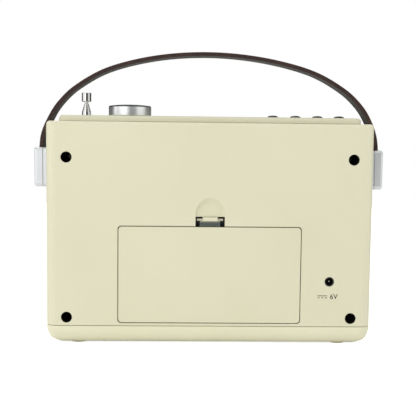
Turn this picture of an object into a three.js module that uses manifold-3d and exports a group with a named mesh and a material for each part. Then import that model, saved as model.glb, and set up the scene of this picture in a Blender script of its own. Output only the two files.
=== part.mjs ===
// A portable tabletop radio: two case shells on a base tray, a raised control panel, a telescopic
// antenna, a leather strap on turning brackets and a bay for four large cells behind a hinged door.
// Millimetres, +Z up, the front faces -Y, the origin is on the table under the middle of the case.
import * as THREE from 'three';
import { mergeVertices } from 'three/addons/utils/BufferGeometryUtils.js';
import Module from 'manifold-3d';

const wasm = await Module();
wasm.setup();

// ---------------------------------------------------------------- driving dimensions
const CASE = { halfWidth: 130, halfDepth: 44, bottom: 0.6, seam: 15.35, top: 177.3, wall: 2.6 };
const CASE_RADIUS = { corner: 8.5, base: 12, top: 3 };
const GAP = 0.3;                       // clearance between neighbouring pieces
const SPLIT_Y = 16;                    // where the front and rear shells meet
const PANEL = { halfWidth: 120.7, halfDepth: 37, top: 182.2, corner: 7, edge: 2.8, wall: 2.2 };
const WELL = { x: 113.3, z: [22.1, 149.1], radius: 4.35, tube: 6.3, floor: 17, head: 20.2 };
const KNOB = { x: 66.5, radius: 17.6, bottom: 182.8, rim: 189.4, crown: 192.3 };
const BUTTON_XS = [-52.8, -71.7, -90.3, -108.5];
const BUTTON = { radius: 4.4, stem: 2.5, foot: 172.2, rim: 183.4, crown: 184.8 };
const ANTENNA = { at: [99.2, 28, 0], bottom: 52, firstTop: 185.6, step: 1.45, wall: 0.28, hole: 4.1 };
const ANTENNA_TUBES = [3.6, 3.17, 2.74, 2.31, 1.88];   // outer radii, outermost first
const ANTENNA_ROD = { radius: 1.35, top: 193.7, capBottom: 192.9, capTop: 200, capRadius: 3.77 };
const DOOR = { halfWidth: 72.4, bottom: 18.1, top: 94.9, thick: 3, corner: 2.8, gap: 0.5 };
const HINGE = { xs: [-46, 46], half: 6, z: [16.1, 20.4] };
const BAY = { halfWidth: 69.7, bottom: 20.8, top: 91, back: 4.4, wall: 1.8, ledge: 38.5 };
const CELL_ROWS = { lower: 38.4, upper: 73.4 };
const LATCH = { slotHalf: 11.6, slotTop: 102.9, half: 10.6, bottom: 99.4, top: 101.4, nibHalf: 5.9 };
const SCOOP = { centre: 104, mouth: [11.8, 14.2], floor: [10.4, 10.2], depth: 2.8 };
const JACK = { x: -95.8, z: 51.8, hole: 3.8, barrel: 3.5, bore: 2.75, pin: 0.9 };
const SPEAKER = { x: -40, z: 97, plate: 37, cone: 33, back: -36, screwInset: 5.5 };
const GRILLE = { x: [-118, 38], z: [30, 163], y: [-43.9, -43.1], corner: 10 };
const DISPLAY = { x: [50, 112], z: [100, 150], y: [-43.9, -42.8], frame: 3.2, corner: 5 };
const WINDOW = { x: [57, 105], z: [107, 143] };
const BOARD = { x: [-118, 84], z: 161.4, thick: 1.6, halfDepth: 8, posts: [-62, 20, 48] };
const MAIN_BOARD = { x: [48, 108], y: [-30, -28.4], z: [32, 92], inset: 4 };
const BRACKET = { inner: 130.3, parting: 137.15, outer: 144, bottom: 124, top: 156.6, halfDepth: 12 };
const STRAP = { halfWidth: 9.2, thick: 3.2, pivotZ: 140 };
const PIVOT = { hole: 1.8, shank: 1.45, head: 3.4, boss: 4.5 };
// The strap's centre line from its right foot to its left; leather settles a little unevenly.
const STRAP_PATH = [[138.8, 128], [138.8, 142], [138.75, 156], [137.1, 168], [132, 180],
  [124, 192.7], [109.3, 206.6], [82.7, 221.2], [43, 231], [0, 234], [-43, 230.3], [-83, 220.5],
  [-110, 206.2], [-124.9, 192.6], [-132.8, 180], [-137.2, 168], [-138.7, 156], [-138.8, 142], [-138.8, 128]];
const FOOT = { x: 105, y: 30, radius: 6, height: 1.9 };
const SIDES = [-1, 1];
const WIDE = [-200, 200];              // farther than any piece reaches

// ---------------------------------------------------------------- basic solids
function toSolid(geometry) {
  const bare = geometry.clone();
  bare.deleteAttribute('normal');
  bare.deleteAttribute('uv');
  const merged = mergeVertices(bare, 1e-4);
  const corners = merged.index.array;
  const triangles = [];
  for (let i = 0; i < corners.length; i += 3) {
    const [a, b, c] = corners.slice(i, i + 3);
    if (a !== b && b !== c && c !== a) triangles.push(a, b, c);
  }
  return new wasm.Manifold(new wasm.Mesh({
    numProp: 3,
    vertProperties: new Float32Array(merged.attributes.position.array),
    triVerts: new Uint32Array(triangles),
  }));
}

function block(x, y, z) {
  const geometry = new THREE.BoxGeometry(x[1] - x[0], y[1] - y[0], z[1] - z[0]);
  geometry.translate((x[0] + x[1]) / 2, (y[0] + y[1]) / 2, (z[0] + z[1]) / 2);
  return toSolid(geometry);
}

// A rectangle with rounded corners; the two lower and the two upper corners may differ.
function outline(u, v, lowRadius, highRadius = lowRadius) {
  const shape = new THREE.Shape();
  shape.moveTo(u[0] + lowRadius, v[0]);
  shape.absarc(u[1] - lowRadius, v[0] + lowRadius, lowRadius, -Math.PI / 2, 0);
  shape.absarc(u[1] - highRadius, v[1] - highRadius, highRadius, 0, Math.PI / 2);
  shape.absarc(u[0] + highRadius, v[1] - highRadius, highRadius, Math.PI / 2, Math.PI);
  shape.absarc(u[0] + lowRadius, v[0] + lowRadius, lowRadius, Math.PI, Math.PI * 1.5);
  return shape;
}

// Extrudes an outline along one axis: 'x' reads it as (y, z), 'y' as (x, z) and 'z' as (x, y).
function prism(shape, axis, span, curveSegments = 2) {
  const depth = span[1] - span[0];
  const geometry = new THREE.ExtrudeGeometry(shape, { depth, bevelEnabled: false, curveSegments });
  geometry.translate(0, 0, axis === 'y' ? -span[1] : span[0]);
  if (axis === 'y') geometry.rotateX(Math.PI / 2);
  if (axis === 'x') {
    const turn = new THREE.Matrix4();
    turn.makeBasis(new THREE.Vector3(0, 1, 0), new THREE.Vector3(0, 0, 1), new THREE.Vector3(1, 0, 0));
    geometry.applyMatrix4(turn);
  }
  return toSolid(geometry);
}

// Turns a profile of [radius, height] points about an axis line through a point.
function turned(profile, axis, at, sides = 16) {
  const points = profile.map(([radius, height]) => new THREE.Vector2(radius, height));
  const geometry = new THREE.LatheGeometry(points, sides);
  if (axis === 'z') geometry.rotateX(Math.PI / 2);
  if (axis === 'x') geometry.rotateZ(-Math.PI / 2);
  geometry.translate(...at);
  return toSolid(geometry);
}

function rod(axis, radius, span, at, sides = 16) {
  return turned([[0, span[0]], [radius, span[0]], [radius, span[1]], [0, span[1]]], axis, at, sides);
}

function tube(axis, outer, inner, span, at, sides = 16) {
  const [low, high] = span;
  return turned([[inner, low], [outer, low], [outer, high], [inner, high], [inner, low]], axis, at, sides);
}

function grown(span, by) {
  return [span[0] - by, span[1] + by];
}

// The span between two distances from the middle, on the left (-1) or on the right (1).
function spanOn(side, near, far) {
  return side > 0 ? [near, far] : [-far, -near];
}

function joined(solids) {
  return solids.reduce((whole, solid) => whole.add(solid));
}

function cut(solid, tools) {
  return tools.reduce((rest, tool) => rest.subtract(tool), solid);
}

// ---------------------------------------------------------------- the scene graph
const radio = new THREE.Group();

const LOOKS = {
  cream: { color: 0xdedbbf, roughness: 0.55, metalness: 0 },
  satinMetal: { color: 0xb9bbbd, roughness: 0.3, metalness: 1 },
  chrome: { color: 0xd8d8d6, roughness: 0.12, metalness: 1 },
  darkMetal: { color: 0x55504a, roughness: 0.35, metalness: 1 },
  steel: { color: 0xa9a9a6, roughness: 0.35, metalness: 1 },
  blackPlastic: { color: 0x1c1c1d, roughness: 0.5, metalness: 0 },
  greyPlastic: { color: 0x8b8a86, roughness: 0.5, metalness: 0 },
  rubber: { color: 0x2a2a2a, roughness: 0.9, metalness: 0 },
  leather: { color: 0x413738, roughness: 0.6, metalness: 0 },
  board: { color: 0x2f5a3a, roughness: 0.6, metalness: 0 },
  paper: { color: 0x24211f, roughness: 0.9, metalness: 0 },
  glass: { color: 0x1a1f22, roughness: 0.08, metalness: 0 },
};

function place(name, solid, look) {
  const { vertProperties, triVerts } = solid.getMesh();
  const geometry = new THREE.BufferGeometry();
  geometry.setAttribute('position', new THREE.BufferAttribute(vertProperties, 3));
  geometry.setIndex(new THREE.BufferAttribute(triVerts, 1));
  geometry.computeVertexNormals();
  const mesh = new THREE.Mesh(geometry, new THREE.MeshStandardMaterial(LOOKS[look]));
  mesh.name = name;
  radio.add(mesh);
}

// ---------------------------------------------------------------- case shells and base tray
function caseBlank(inset) {
  const low = CASE_RADIUS.base - inset;
  const high = Math.max(CASE_RADIUS.top - inset, 0.6);
  const halfX = CASE.halfWidth - inset;
  const halfY = CASE.halfDepth - inset;
  const z = [CASE.bottom + inset, CASE.top - inset];
  const front = prism(outline([-halfX, halfX], z, low, high), 'y', [-halfY, halfY]);
  const side = prism(outline([-halfY, halfY], z, low, high), 'x', [-halfX, halfX]);
  const plan = prism(outline([-halfX, halfX], [-halfY, halfY], CASE_RADIUS.corner - inset), 'z', z);
  return front.intersect(side).intersect(plan);
}

const shellWalls = caseBlank(0).subtract(caseBlank(CASE.wall));
const aboveSeam = [CASE.seam + GAP / 2, 200];
const wellPlaces = SIDES.flatMap((side) => WELL.z.map((z) => [side * WELL.x, 0, z]));
const innerFront = -CASE.halfDepth + CASE.wall;
const innerBack = CASE.halfDepth - CASE.wall;
const innerTop = CASE.top - CASE.wall;

function speakerScrewPlaces() {
  const offset = SPEAKER.plate - SPEAKER.screwInset;
  return SIDES.flatMap((i) => SIDES.map((k) => [SPEAKER.x + i * offset, 0, SPEAKER.z + k * offset]));
}

function controlHoles(button, knob, z) {
  return [...BUTTON_XS.map((x) => rod('z', button, z, [x, 0, 0])), rod('z', knob, z, [KNOB.x, 0, 0])];
}

const antennaHole = rod('z', ANTENNA.hole, [170, 190], ANTENNA.at);

function frontPosts() {
  const wellPillars = wellPlaces.map((at) => rod('y', 5, [innerFront - 0.5, WELL.floor - 3 * GAP], at, 12));
  const speakerPosts = speakerScrewPlaces().map((at) => {
    return rod('y', 4, [innerFront - 0.5, SPEAKER.back - 0.2], at, 12);
  });
  const boardPosts = BOARD.posts.map((x) => {
    return rod('z', 2.5, [BOARD.z + BOARD.thick + 0.2, innerTop + 0.5], [x, 0, 0], 10);
  });
  const mainPosts = grown(MAIN_BOARD.x, -MAIN_BOARD.inset).flatMap((x) => {
    return grown(MAIN_BOARD.z, -MAIN_BOARD.inset).map((z) => {
      return rod('y', 2.5, [innerFront - 0.5, MAIN_BOARD.y[0] - 0.2], [x, 0, z], 10);
    });
  });
  const strapBosses = SIDES.map((side) => {
    return rod('x', PIVOT.boss, spanOn(side, 117, 128), [0, 0, STRAP.pivotZ], 12);
  });
  return [...wellPillars, ...speakerPosts, ...boardPosts, ...mainPosts, ...strapBosses];
}

function frontOpenings() {
  const recess = (piece, depth) => {
    const shape = outline(grown(piece.x, GAP), grown(piece.z, GAP), piece.corner);
    return prism(shape, 'y', [-50, depth]);
  };
  return [
    recess(GRILLE, GRILLE.y[1] + GAP),
    recess(DISPLAY, DISPLAY.y[1] + GAP),
    block(WINDOW.x, [-50, -40], WINDOW.z),
    rod('y', SPEAKER.cone, [-50, -40], [SPEAKER.x, 0, SPEAKER.z], 24),
    ...controlHoles(3, 5, [innerTop - 1, 185]),
    ...wellPlaces.map((at) => rod('y', 1.7, [-5, 20], at, 10)),
    ...speakerScrewPlaces().map((at) => rod('y', 1.6, [-42, -30], at, 10)),
    ...SIDES.map((side) => rod('x', PIVOT.hole, spanOn(side, 120, 135), [0, 0, STRAP.pivotZ], 10)),
  ];
}

function frontShell() {
  const shell = shellWalls.intersect(block(WIDE, [-50, SPLIT_Y - GAP / 2], aboveSeam));
  return cut(joined([shell, ...frontPosts()]), frontOpenings());
}

function rearBoxes() {
  const inside = innerBack + 0.5;
  const bayHalf = BAY.halfWidth + BAY.wall;
  const chamberTop = SCOOP.centre + SCOOP.mouth[1] + 2;
  return [
    ...wellPlaces.map((at) => rod('y', WELL.tube, [WELL.floor, inside], at)),
    block([-76, 76], [BAY.ledge, inside], [CASE.seam + GAP, 98]),
    block([-bayHalf, bayHalf], [BAY.back - BAY.wall, inside], grown([BAY.bottom, BAY.top], BAY.wall)),
    block([-14.5, 14.5], [33.5, inside], [BAY.top, chamberTop]),
  ];
}

function rearOpenings() {
  const { halfWidth, bottom, top, thick, corner, gap } = DOOR;
  const doorway = outline(grown([-halfWidth, halfWidth], gap), grown([bottom, top], gap), corner);
  return [
    prism(doorway, 'y', [CASE.halfDepth - thick - GAP, 50]),
    block([-BAY.halfWidth, BAY.halfWidth], [BAY.back, 50], [BAY.bottom, BAY.top]),
    block([-LATCH.slotHalf, LATCH.slotHalf], [35.4, 50], [BAY.top - 3, LATCH.slotTop]),
    fingerScoop(),
    antennaHole,
    ...HINGE.xs.map((x) => {
      return block(grown([x, x], HINGE.half + 2 * GAP), [BAY.ledge - 0.2, innerBack - 0.1], [15, 21]);
    }),
    rod('y', JACK.hole, [30, 50], [JACK.x, 0, JACK.z]),
    ...wellPlaces.map((at) => rod('y', WELL.radius, [WELL.head - GAP, 50], at)),
    ...wellPlaces.map((at) => rod('y', 2, [10, 30], at, 12)),
  ];
}

function rearShell() {
  const shell = shellWalls.intersect(block(WIDE, [SPLIT_Y + GAP / 2, 50], aboveSeam));
  return cut(joined([shell, ...rearBoxes()]), rearOpenings());
}

// Half of a tapering oval plug: its floor is smaller than its mouth, so its wall slopes most at the top.
function fingerScoop() {
  const plug = new THREE.CylinderGeometry(1, 1, 1, 28);
  const points = plug.attributes.position;
  const beyond = 1;
  for (let i = 0; i < points.count; i++) {
    const mouth = points.getY(i) > 0;
    const [x, z] = SCOOP.mouth.map((size, k) => {
      return mouth ? size + (size - SCOOP.floor[k]) * beyond / SCOOP.depth : SCOOP.floor[k];
    });
    const y = mouth ? CASE.halfDepth + beyond : CASE.halfDepth - SCOOP.depth;
    points.setXYZ(i, points.getX(i) * x, y, SCOOP.centre + points.getZ(i) * z);
  }
  return toSolid(plug).intersect(block(WIDE, [0, 60], [LATCH.slotTop - 0.5, 200]));
}

function baseTray() {
  const tray = shellWalls.intersect(block(WIDE, WIDE, [-5, CASE.seam - GAP / 2]));
  return cut(tray, footPlaces().map((at) => rod('z', FOOT.radius + GAP, [-1, FOOT.height + GAP], at)));
}

function footPlaces() {
  return SIDES.flatMap((i) => SIDES.map((k) => [i * FOOT.x, k * FOOT.y, 0]));
}

function topPanel() {
  const { halfWidth: x, halfDepth: y, edge, wall } = PANEL;
  const z = [CASE.top + GAP, PANEL.top];
  const slab = prism(outline([-x, x], [-y, y], PANEL.corner), 'z', z);
  const across = prism(outline([-x, x], [z[0] - edge, z[1]], edge), 'y', [-y, y]);
  const along = prism(outline([-y, y], [z[0] - edge, z[1]], edge), 'x', [-x, x]);
  const hollow = block([wall - x, x - wall], [wall - y, y - wall], [z[0] - 1, z[1] - wall]);
  const openings = [hollow, antennaHole, ...controlHoles(BUTTON.radius + 0.4, 5, [170, 190])];
  return cut(slab.intersect(across).intersect(along), openings);
}

place('front_shell', frontShell(), 'cream');
place('rear_shell', rearShell(), 'cream');
place('base_tray', baseTray(), 'cream');
place('top_panel', topPanel(), 'cream');

// ---------------------------------------------------------------- front face: grille and display
function displayFrame() {
  const { x, y, z, frame, corner } = DISPLAY;
  const hole = outline(grown(x, -frame), grown(z, -frame), corner - frame + 1);
  return prism(outline(x, z, corner), 'y', y).subtract(prism(hole, 'y', [-50, -40]));
}

function displayLens() {
  const inset = DISPLAY.frame + GAP;
  const shape = outline(grown(DISPLAY.x, -inset), grown(DISPLAY.z, -inset), 2);
  return prism(shape, 'y', [DISPLAY.y[0] + GAP, DISPLAY.y[1]]);
}

place('speaker_grille', prism(outline(GRILLE.x, GRILLE.z, GRILLE.corner), 'y', GRILLE.y), 'satinMetal');
place('display_frame', displayFrame(), 'chrome');
place('display_lens', displayLens(), 'glass');
place('display_module', block([56, 106], [-41, -36.4], [104, 145.5]), 'blackPlastic');

// ---------------------------------------------------------------- loudspeaker
function speakerBasket() {
  const { x, z, plate, cone, back } = SPEAKER;
  const flange = prism(outline([x - plate, x + plate], [z - plate, z + plate], 6), 'y', [back, back + 2]);
  const outside = [[cone + 2, back], [cone + 2, back + 3], [24, back + 18], [8, back + 18]];
  const inside = [[8, back + 16.6], [23, back + 16.6], [cone, back + 2.4], [cone, back]];
  const bowl = turned([...outside, ...inside, outside[0]], 'y', [x, 0, z], 20);
  const mouth = rod('y', cone + 0.5, [back - 1, back + 3], [x, 0, z], 20);
  const holes = speakerScrewPlaces().map((at) => rod('y', 1.7, [back - 1, back + 4], at, 10));
  return cut(flange, [mouth, ...holes]).add(bowl);
}

// The cone with its dust cap in front and its voice coil behind.
function speakerCone() {
  const { x, z, back } = SPEAKER;
  const frontFace = [[0, 5.5], [5, 6.5], [7, 8.4], [30.5, 1], [32.5, 0.6]];
  const rearFace = [[32.5, 1.3], [30.8, 1.8], [7.4, 9.3], [7.4, 15], [0, 15]];
  const profile = [...frontFace, ...rearFace].map(([radius, depth]) => [radius, back + depth]);
  return turned(profile, 'y', [x, 0, z], 20);
}

function speakerScrew(at) {
  const head = SPEAKER.back + 2.2;
  const tip = -41.2;
  const shank = [[0, tip], [1.35, tip], [1.35, head]];
  const pan = [[3, head], [3, head + 1], [1.8, head + 2], [0, head + 2]];
  return turned([...shank, ...pan], 'y', at, 10);
}

place('speaker_basket', speakerBasket(), 'steel');
place('speaker_cone', speakerCone(), 'paper');
const magnetSpan = [SPEAKER.back + 18.3, SPEAKER.back + 30];
place('speaker_magnet', rod('y', 22.5, magnetSpan, [SPEAKER.x, 0, SPEAKER.z], 20), 'darkMetal');
speakerScrewPlaces().forEach((at, i) => place(`speaker_screw_${i + 1}`, speakerScrew(at), 'steel'));

// ---------------------------------------------------------------- circuit boards
function mainBoard() {
  const { x, y, z } = MAIN_BOARD;
  const face = y[1] - 0.1;
  const tuner = block([56, 74], [face, -25.6], [60, 78]);
  const amplifier = block([80, 100], [face, -22], [40, 52]);
  const largeCapacitor = rod('y', 5, [face, -17], [60, 0, 44], 12);
  const smallCapacitor = rod('y', 4, [face, -19], [84, 0, 76], 12);
  return joined([block(x, y, z), tuner, amplifier, largeCapacitor, smallCapacitor]);
}

function controlBoard() {
  return block(BOARD.x, [-BOARD.halfDepth, BOARD.halfDepth], [BOARD.z, BOARD.z + BOARD.thick]);
}

place('main_board', mainBoard(), 'board');
place('control_board', controlBoard(), 'board');

const boardTop = BOARD.z + BOARD.thick + 0.1;
function tactSwitch(x) {
  const plunger = rod('z', 1.7, [boardTop + 3, BUTTON.foot - 1], [x, 0, 0], 12);
  return block([x - 3, x + 3], [-3, 3], [boardTop, boardTop + 3.5]).add(plunger);
}

BUTTON_XS.forEach((x, i) => place(`tact_switch_${i + 1}`, tactSwitch(x), 'blackPlastic'));

// ---------------------------------------------------------------- buttons, knob and encoder
function button(x) {
  const { radius, stem, foot, rim, crown } = BUTTON;
  const shoulder = { radius: 5.8, z: [178.7, 179.7] };
  const below = [[0, foot], [stem, foot], [stem, shoulder.z[0]], [shoulder.radius, shoulder.z[0]],
    [shoulder.radius, shoulder.z[1]], [radius, shoulder.z[1]]];
  const dome = [[radius, rim], [radius * 0.82, rim + 0.75], [radius * 0.45, crown - 0.15], [0, crown]];
  return turned([...below, ...dome], 'z', [x, 0, 0], 16);
}

BUTTON_XS.forEach((x, i) => place(`button_${i + 1}`, button(x), 'darkMetal'));

function encoderBody() {
  const x = KNOB.x;
  const body = block([x - 6, x + 6], [-6, 6], [boardTop, boardTop + 6.8]);
  const bush = rod('z', 4.4, [boardTop + 6, 181.6], [x, 0, 0]);
  return body.add(bush).subtract(rod('z', 3.3, [boardTop + 3, 190], [x, 0, 0], 12));
}

function volumeKnob() {
  const { x, radius, bottom, rim, crown } = KNOB;
  const bore = 3.15;
  const boreTop = 188.6;
  const side = [[bore, bottom], [radius - 0.5, bottom], [radius, bottom + 0.5], [radius, rim - 0.6]];
  const shoulder = [radius - 0.7, rim + 0.3];
  const dome = [shoulder, [radius * 0.75, rim + 1.5], [radius * 0.4, crown - 0.4], [0, crown]];
  return turned([...side, ...dome, [0, boreTop], [bore, boreTop], side[0]], 'z', [x, 0, 0], 32);
}

place('volume_encoder', encoderBody(), 'steel');
place('encoder_shaft', rod('z', 2.9, [boardTop + 3.4, 188.3], [KNOB.x, 0, 0], 12), 'steel');
place('volume_knob', volumeKnob(), 'satinMetal');

// ---------------------------------------------------------------- telescopic antenna
ANTENNA_TUBES.forEach((radius, i) => {
  const span = [ANTENNA.bottom + i * GAP, ANTENNA.firstTop + i * ANTENNA.step];
  place(`antenna_tube_${i + 1}`, tube('z', radius, radius - ANTENNA.wall, span, ANTENNA.at, 12), 'chrome');
});
const rodSpan = [ANTENNA.bottom + ANTENNA_TUBES.length * GAP, ANTENNA_ROD.top];
place('antenna_rod', rod('z', ANTENNA_ROD.radius, rodSpan, ANTENNA.at, 12), 'chrome');

function antennaCap() {
  const { capBottom: low, capTop: high, capRadius: r, radius, top } = ANTENNA_ROD;
  const bore = radius + 0.15;
  const outside = [[bore, low], [r - 0.4, low], [r, low + 0.5], [r, high - 0.6], [r - 0.6, high], [0, high]];
  return turned([...outside, [0, top + 0.2], [bore, top + 0.2], outside[0]], 'z', ANTENNA.at, 16);
}

function antennaClamp() {
  const [x, y] = ANTENNA.at;
  const arm = block([x - 5.5, CASE.halfWidth - CASE.wall - GAP], [y - 5.5, y + 5.5], [62, 72]);
  return arm.subtract(rod('z', ANTENNA.hole - 0.2, [50, 80], ANTENNA.at, 12));
}

place('antenna_cap', antennaCap(), 'chrome');
place('antenna_clamp', antennaClamp(), 'greyPlastic');

// ---------------------------------------------------------------- battery door, latch and contacts
function batteryDoor() {
  const { halfWidth, bottom, top, thick, corner } = DOOR;
  const inner = CASE.halfDepth - thick;
  const panel = prism(outline([-halfWidth, halfWidth], [bottom, top], corner), 'y', [inner, CASE.halfDepth]);
  const tabs = HINGE.xs.map((x) => block(grown([x, x], HINGE.half), [inner - 1.4, inner + 0.2], HINGE.z));
  return joined([panel, ...tabs]);
}

function batteryLatch() {
  const { half, bottom, top, nibHalf } = LATCH;
  const face = 43.3;
  const tab = block([-half, half], [36.6, face], [bottom, top]);
  const nib = block([-nibHalf, nibHalf], [face - 1.2, face], [top - 0.5, LATCH.slotTop - 0.25]);
  const stem = block([-8, 8], [37, 39], [89, bottom + 0.5]);
  return joined([tab, nib, stem]);
}

place('battery_door', batteryDoor(), 'cream');
place('battery_latch', batteryLatch(), 'cream');

const contactX = [BAY.halfWidth - 1, BAY.halfWidth - GAP];
const contactY = [14, 31];
const contactHalf = 8;
const { lower, upper } = CELL_ROWS;
place('contact_bridge', block(contactX, contactY, grown([lower, upper], contactHalf)), 'steel');
Object.entries(CELL_ROWS).forEach(([row, z]) => {
  const plate = block(spanOn(-1, ...contactX), contactY, grown([z, z], contactHalf));
  place(`contact_plate_${row}`, plate, 'steel');
});

// Each coil spring's outer shape: a cone that narrows towards the cell.
function springCone(x, z, direction) {
  const cone = turned([[0, 0], [6.5, 0], [4.2, 6], [0, 6]], 'x', [0, 0, 0], 12);
  const turnedCone = direction > 0 ? cone : cone.rotate([0, 180, 0]);
  return turnedCone.translate([x, (contactY[0] + contactY[1]) / 2, z]);
}

place('battery_spring_lower', springCone(contactX[0] - GAP, lower, -1), 'steel');
place('battery_spring_upper', springCone(GAP - contactX[0], upper, 1), 'steel');

// ---------------------------------------------------------------- power inlet
function dcJack() {
  const { x, z, barrel, bore } = JACK;
  const housing = block(grown([x, x], 5.2), [28, 41], grown([z, z], 5.2));
  const body = housing.add(rod('y', barrel, [40, 43.3], [x, 0, z]));
  return body.subtract(rod('y', bore, [31, 50], [x, 0, z]));
}

place('dc_jack', dcJack(), 'blackPlastic');
place('dc_jack_pin', rod('y', JACK.pin, [31.3, 41.8], [JACK.x, 0, JACK.z], 10), 'chrome');

// ---------------------------------------------------------------- strap and its turning brackets
function mirrored(solid, side) {
  return side > 0 ? solid : solid.rotate([0, 0, 180]);
}

// The strap's front view: two edges, each offset from the centre line by half of the thickness.
function strapOutline() {
  const centre = new THREE.SplineCurve(STRAP_PATH.map(([x, z]) => new THREE.Vector2(x, z)));
  const steps = 44;
  const edge = (offset) => Array.from({ length: steps + 1 }, (_, i) => {
    const along = centre.getTangentAt(i / steps);
    return centre.getPointAt(i / steps).add(new THREE.Vector2(along.y, -along.x).multiplyScalar(offset));
  });
  return new THREE.Shape([...edge(STRAP.thick / 2), ...edge(-STRAP.thick / 2).reverse()]);
}

function strap() {
  const band = prism(strapOutline(), 'y', [-STRAP.halfWidth, STRAP.halfWidth]);
  return band.subtract(rod('x', PIVOT.hole, [-150, 150], [0, 0, STRAP.pivotZ], 10));
}

function bracketBase(side) {
  const { inner, parting, bottom, top, halfDepth } = BRACKET;
  const pad = prism(outline([-halfDepth, halfDepth], [bottom, top], 3), 'x', [inner, parting - GAP]);
  return mirrored(pad.subtract(rod('x', PIVOT.hole, [120, 150], [0, 0, STRAP.pivotZ], 10)), side);
}

function bracketCover(side) {
  const { parting, outer, bottom, top, halfDepth } = BRACKET;
  const channelHalf = STRAP.halfWidth + 0.25;
  const plan = prism(outline([-halfDepth, halfDepth], [bottom, top], 3), 'x', [parting, outer]);
  const edges = prism(outline([parting - 8, outer], [bottom, top], 2), 'y', [-halfDepth, halfDepth]);
  const channel = block([parting - 1, 140.7], [-channelHalf, channelHalf], [127.4, top + 1]);
  const bore = rod('x', PIVOT.hole, [130, 150], [0, 0, STRAP.pivotZ], 10);
  const sink = rod('x', PIVOT.head + 0.4, [141.9, 150], [0, 0, STRAP.pivotZ]);
  return mirrored(cut(plan.intersect(edges), [channel, bore, sink]), side);
}

function pivotScrew(side) {
  const { shank, head } = PIVOT;
  const stem = [[0, 121], [shank, 121], [shank, 142.1]];
  const button = [[head, 142.1], [head, 143.2], [head - 0.8, 143.7], [0, 143.7]];
  return mirrored(turned([...stem, ...button], 'x', [0, 0, STRAP.pivotZ], 12), side);
}

place('carry_strap', strap(), 'leather');
[['left', -1], ['right', 1]].forEach(([name, side]) => {
  place(`bracket_base_${name}`, bracketBase(side), 'satinMetal');
  place(`bracket_cover_${name}`, bracketCover(side), 'satinMetal');
  place(`pivot_screw_${name}`, pivotScrew(side), 'steel');
});

// ---------------------------------------------------------------- case screws and feet
function caseScrew(at) {
  const { head } = WELL;
  const shank = [[0, -3], [1.5, -3], [1.5, head]];
  const pan = [[3.6, head], [3.6, head + 1.6], [2.4, head + 2.6], [0, head + 2.6]];
  return turned([...shank, ...pan], 'y', at, 12);
}

wellPlaces.forEach((at, i) => place(`case_screw_${i + 1}`, caseScrew(at), 'blackPlastic'));
footPlaces().forEach((at, i) => {
  place(`foot_${i + 1}`, rod('z', FOOT.radius, [0, FOOT.height], at), 'rubber');
});

export default radio;
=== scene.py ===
# %% [markdown]
# # A retro tabletop radio, finished in Blender
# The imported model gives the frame: where every piece is and how it moves. This script gives each
# visible piece its real surface: rounded mouldings, a spun knob, a leather strap, chromed tubes.
# Each step says what the piece is on a real radio, then models it the way a person would by hand.

# %% Load the frame and keep the CAD box
import math

import bpy
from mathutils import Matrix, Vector


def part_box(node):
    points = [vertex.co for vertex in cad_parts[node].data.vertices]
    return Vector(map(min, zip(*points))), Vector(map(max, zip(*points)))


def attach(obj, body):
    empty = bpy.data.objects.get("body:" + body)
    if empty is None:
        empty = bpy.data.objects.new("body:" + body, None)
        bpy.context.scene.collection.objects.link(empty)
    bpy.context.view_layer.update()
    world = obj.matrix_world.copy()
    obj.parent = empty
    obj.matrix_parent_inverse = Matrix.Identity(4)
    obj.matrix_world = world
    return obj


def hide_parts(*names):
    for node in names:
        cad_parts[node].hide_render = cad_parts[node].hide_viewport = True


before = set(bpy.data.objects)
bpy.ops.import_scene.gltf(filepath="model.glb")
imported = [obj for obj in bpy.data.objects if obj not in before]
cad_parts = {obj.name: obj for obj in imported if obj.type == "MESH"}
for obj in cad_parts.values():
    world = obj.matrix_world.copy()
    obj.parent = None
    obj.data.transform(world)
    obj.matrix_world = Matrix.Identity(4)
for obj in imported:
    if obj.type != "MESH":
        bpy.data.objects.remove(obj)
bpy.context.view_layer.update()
MM = 0.001

# %% [markdown]
# ## Camera
# The radio is seen from behind, from a little above the middle of its case, as a catalogue shot is.
# A longish lens keeps the back face nearly square, and the camera rolls by less than a degree.

# %% The camera
CAMERA_PLACE = Vector((19.8, 681.4, 161.4)) * MM
CAMERA_TURN = [math.radians(angle) for angle in (85.401, -0.647, 178.436)]
camera_data = bpy.data.cameras.new("catalogue_camera")
camera_data.lens = 70.14
camera_data.sensor_width = 36
camera = bpy.data.objects.new("catalogue_camera", camera_data)
camera.location = CAMERA_PLACE
camera.rotation_euler = CAMERA_TURN
bpy.context.scene.collection.objects.link(camera)
bpy.context.scene.camera = camera

# %% [markdown]
# ## Colours and nodes
# Colours are written as a painter would quote them, in sRGB hex, and one function turns them into
# the linear numbers that shaders need. A second function adds a node with its settings and links, and
# three short ones draw what nearly every finish has: a tint that drifts, an uneven gloss, a fine relief.


# %% Colour and node helpers
def linear(hex_colour, alpha=1.0):
    channels = [int(hex_colour[i:i + 2], 16) / 255 for i in (1, 3, 5)]
    curve = [c / 12.92 if c <= 0.04045 else ((c + 0.055) / 1.055) ** 2.4 for c in channels]
    return (*curve, alpha)


def add_node(owner, kind, settings=None, links=None):
    """Adds a node. settings are properties or input values; links are input name -> output socket."""
    node = owner.node_tree.nodes.new(kind)
    for key, value in (settings or {}).items():
        if key in node.inputs:
            node.inputs[key].default_value = value
        else:
            setattr(node, key, value)
    for key, socket in (links or {}).items():
        owner.node_tree.links.new(socket, node.inputs[key])
    return node


def new_material(name, **shader_values):
    material = bpy.data.materials.new(name)
    material.use_nodes = True
    shader = material.node_tree.nodes["Principled BSDF"]
    for key, value in shader_values.items():
        shader.inputs[key.replace("_", " ")].default_value = value
    return material, shader


def connect(material, socket, shader, name):
    material.node_tree.links.new(socket, shader.inputs[name])


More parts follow.
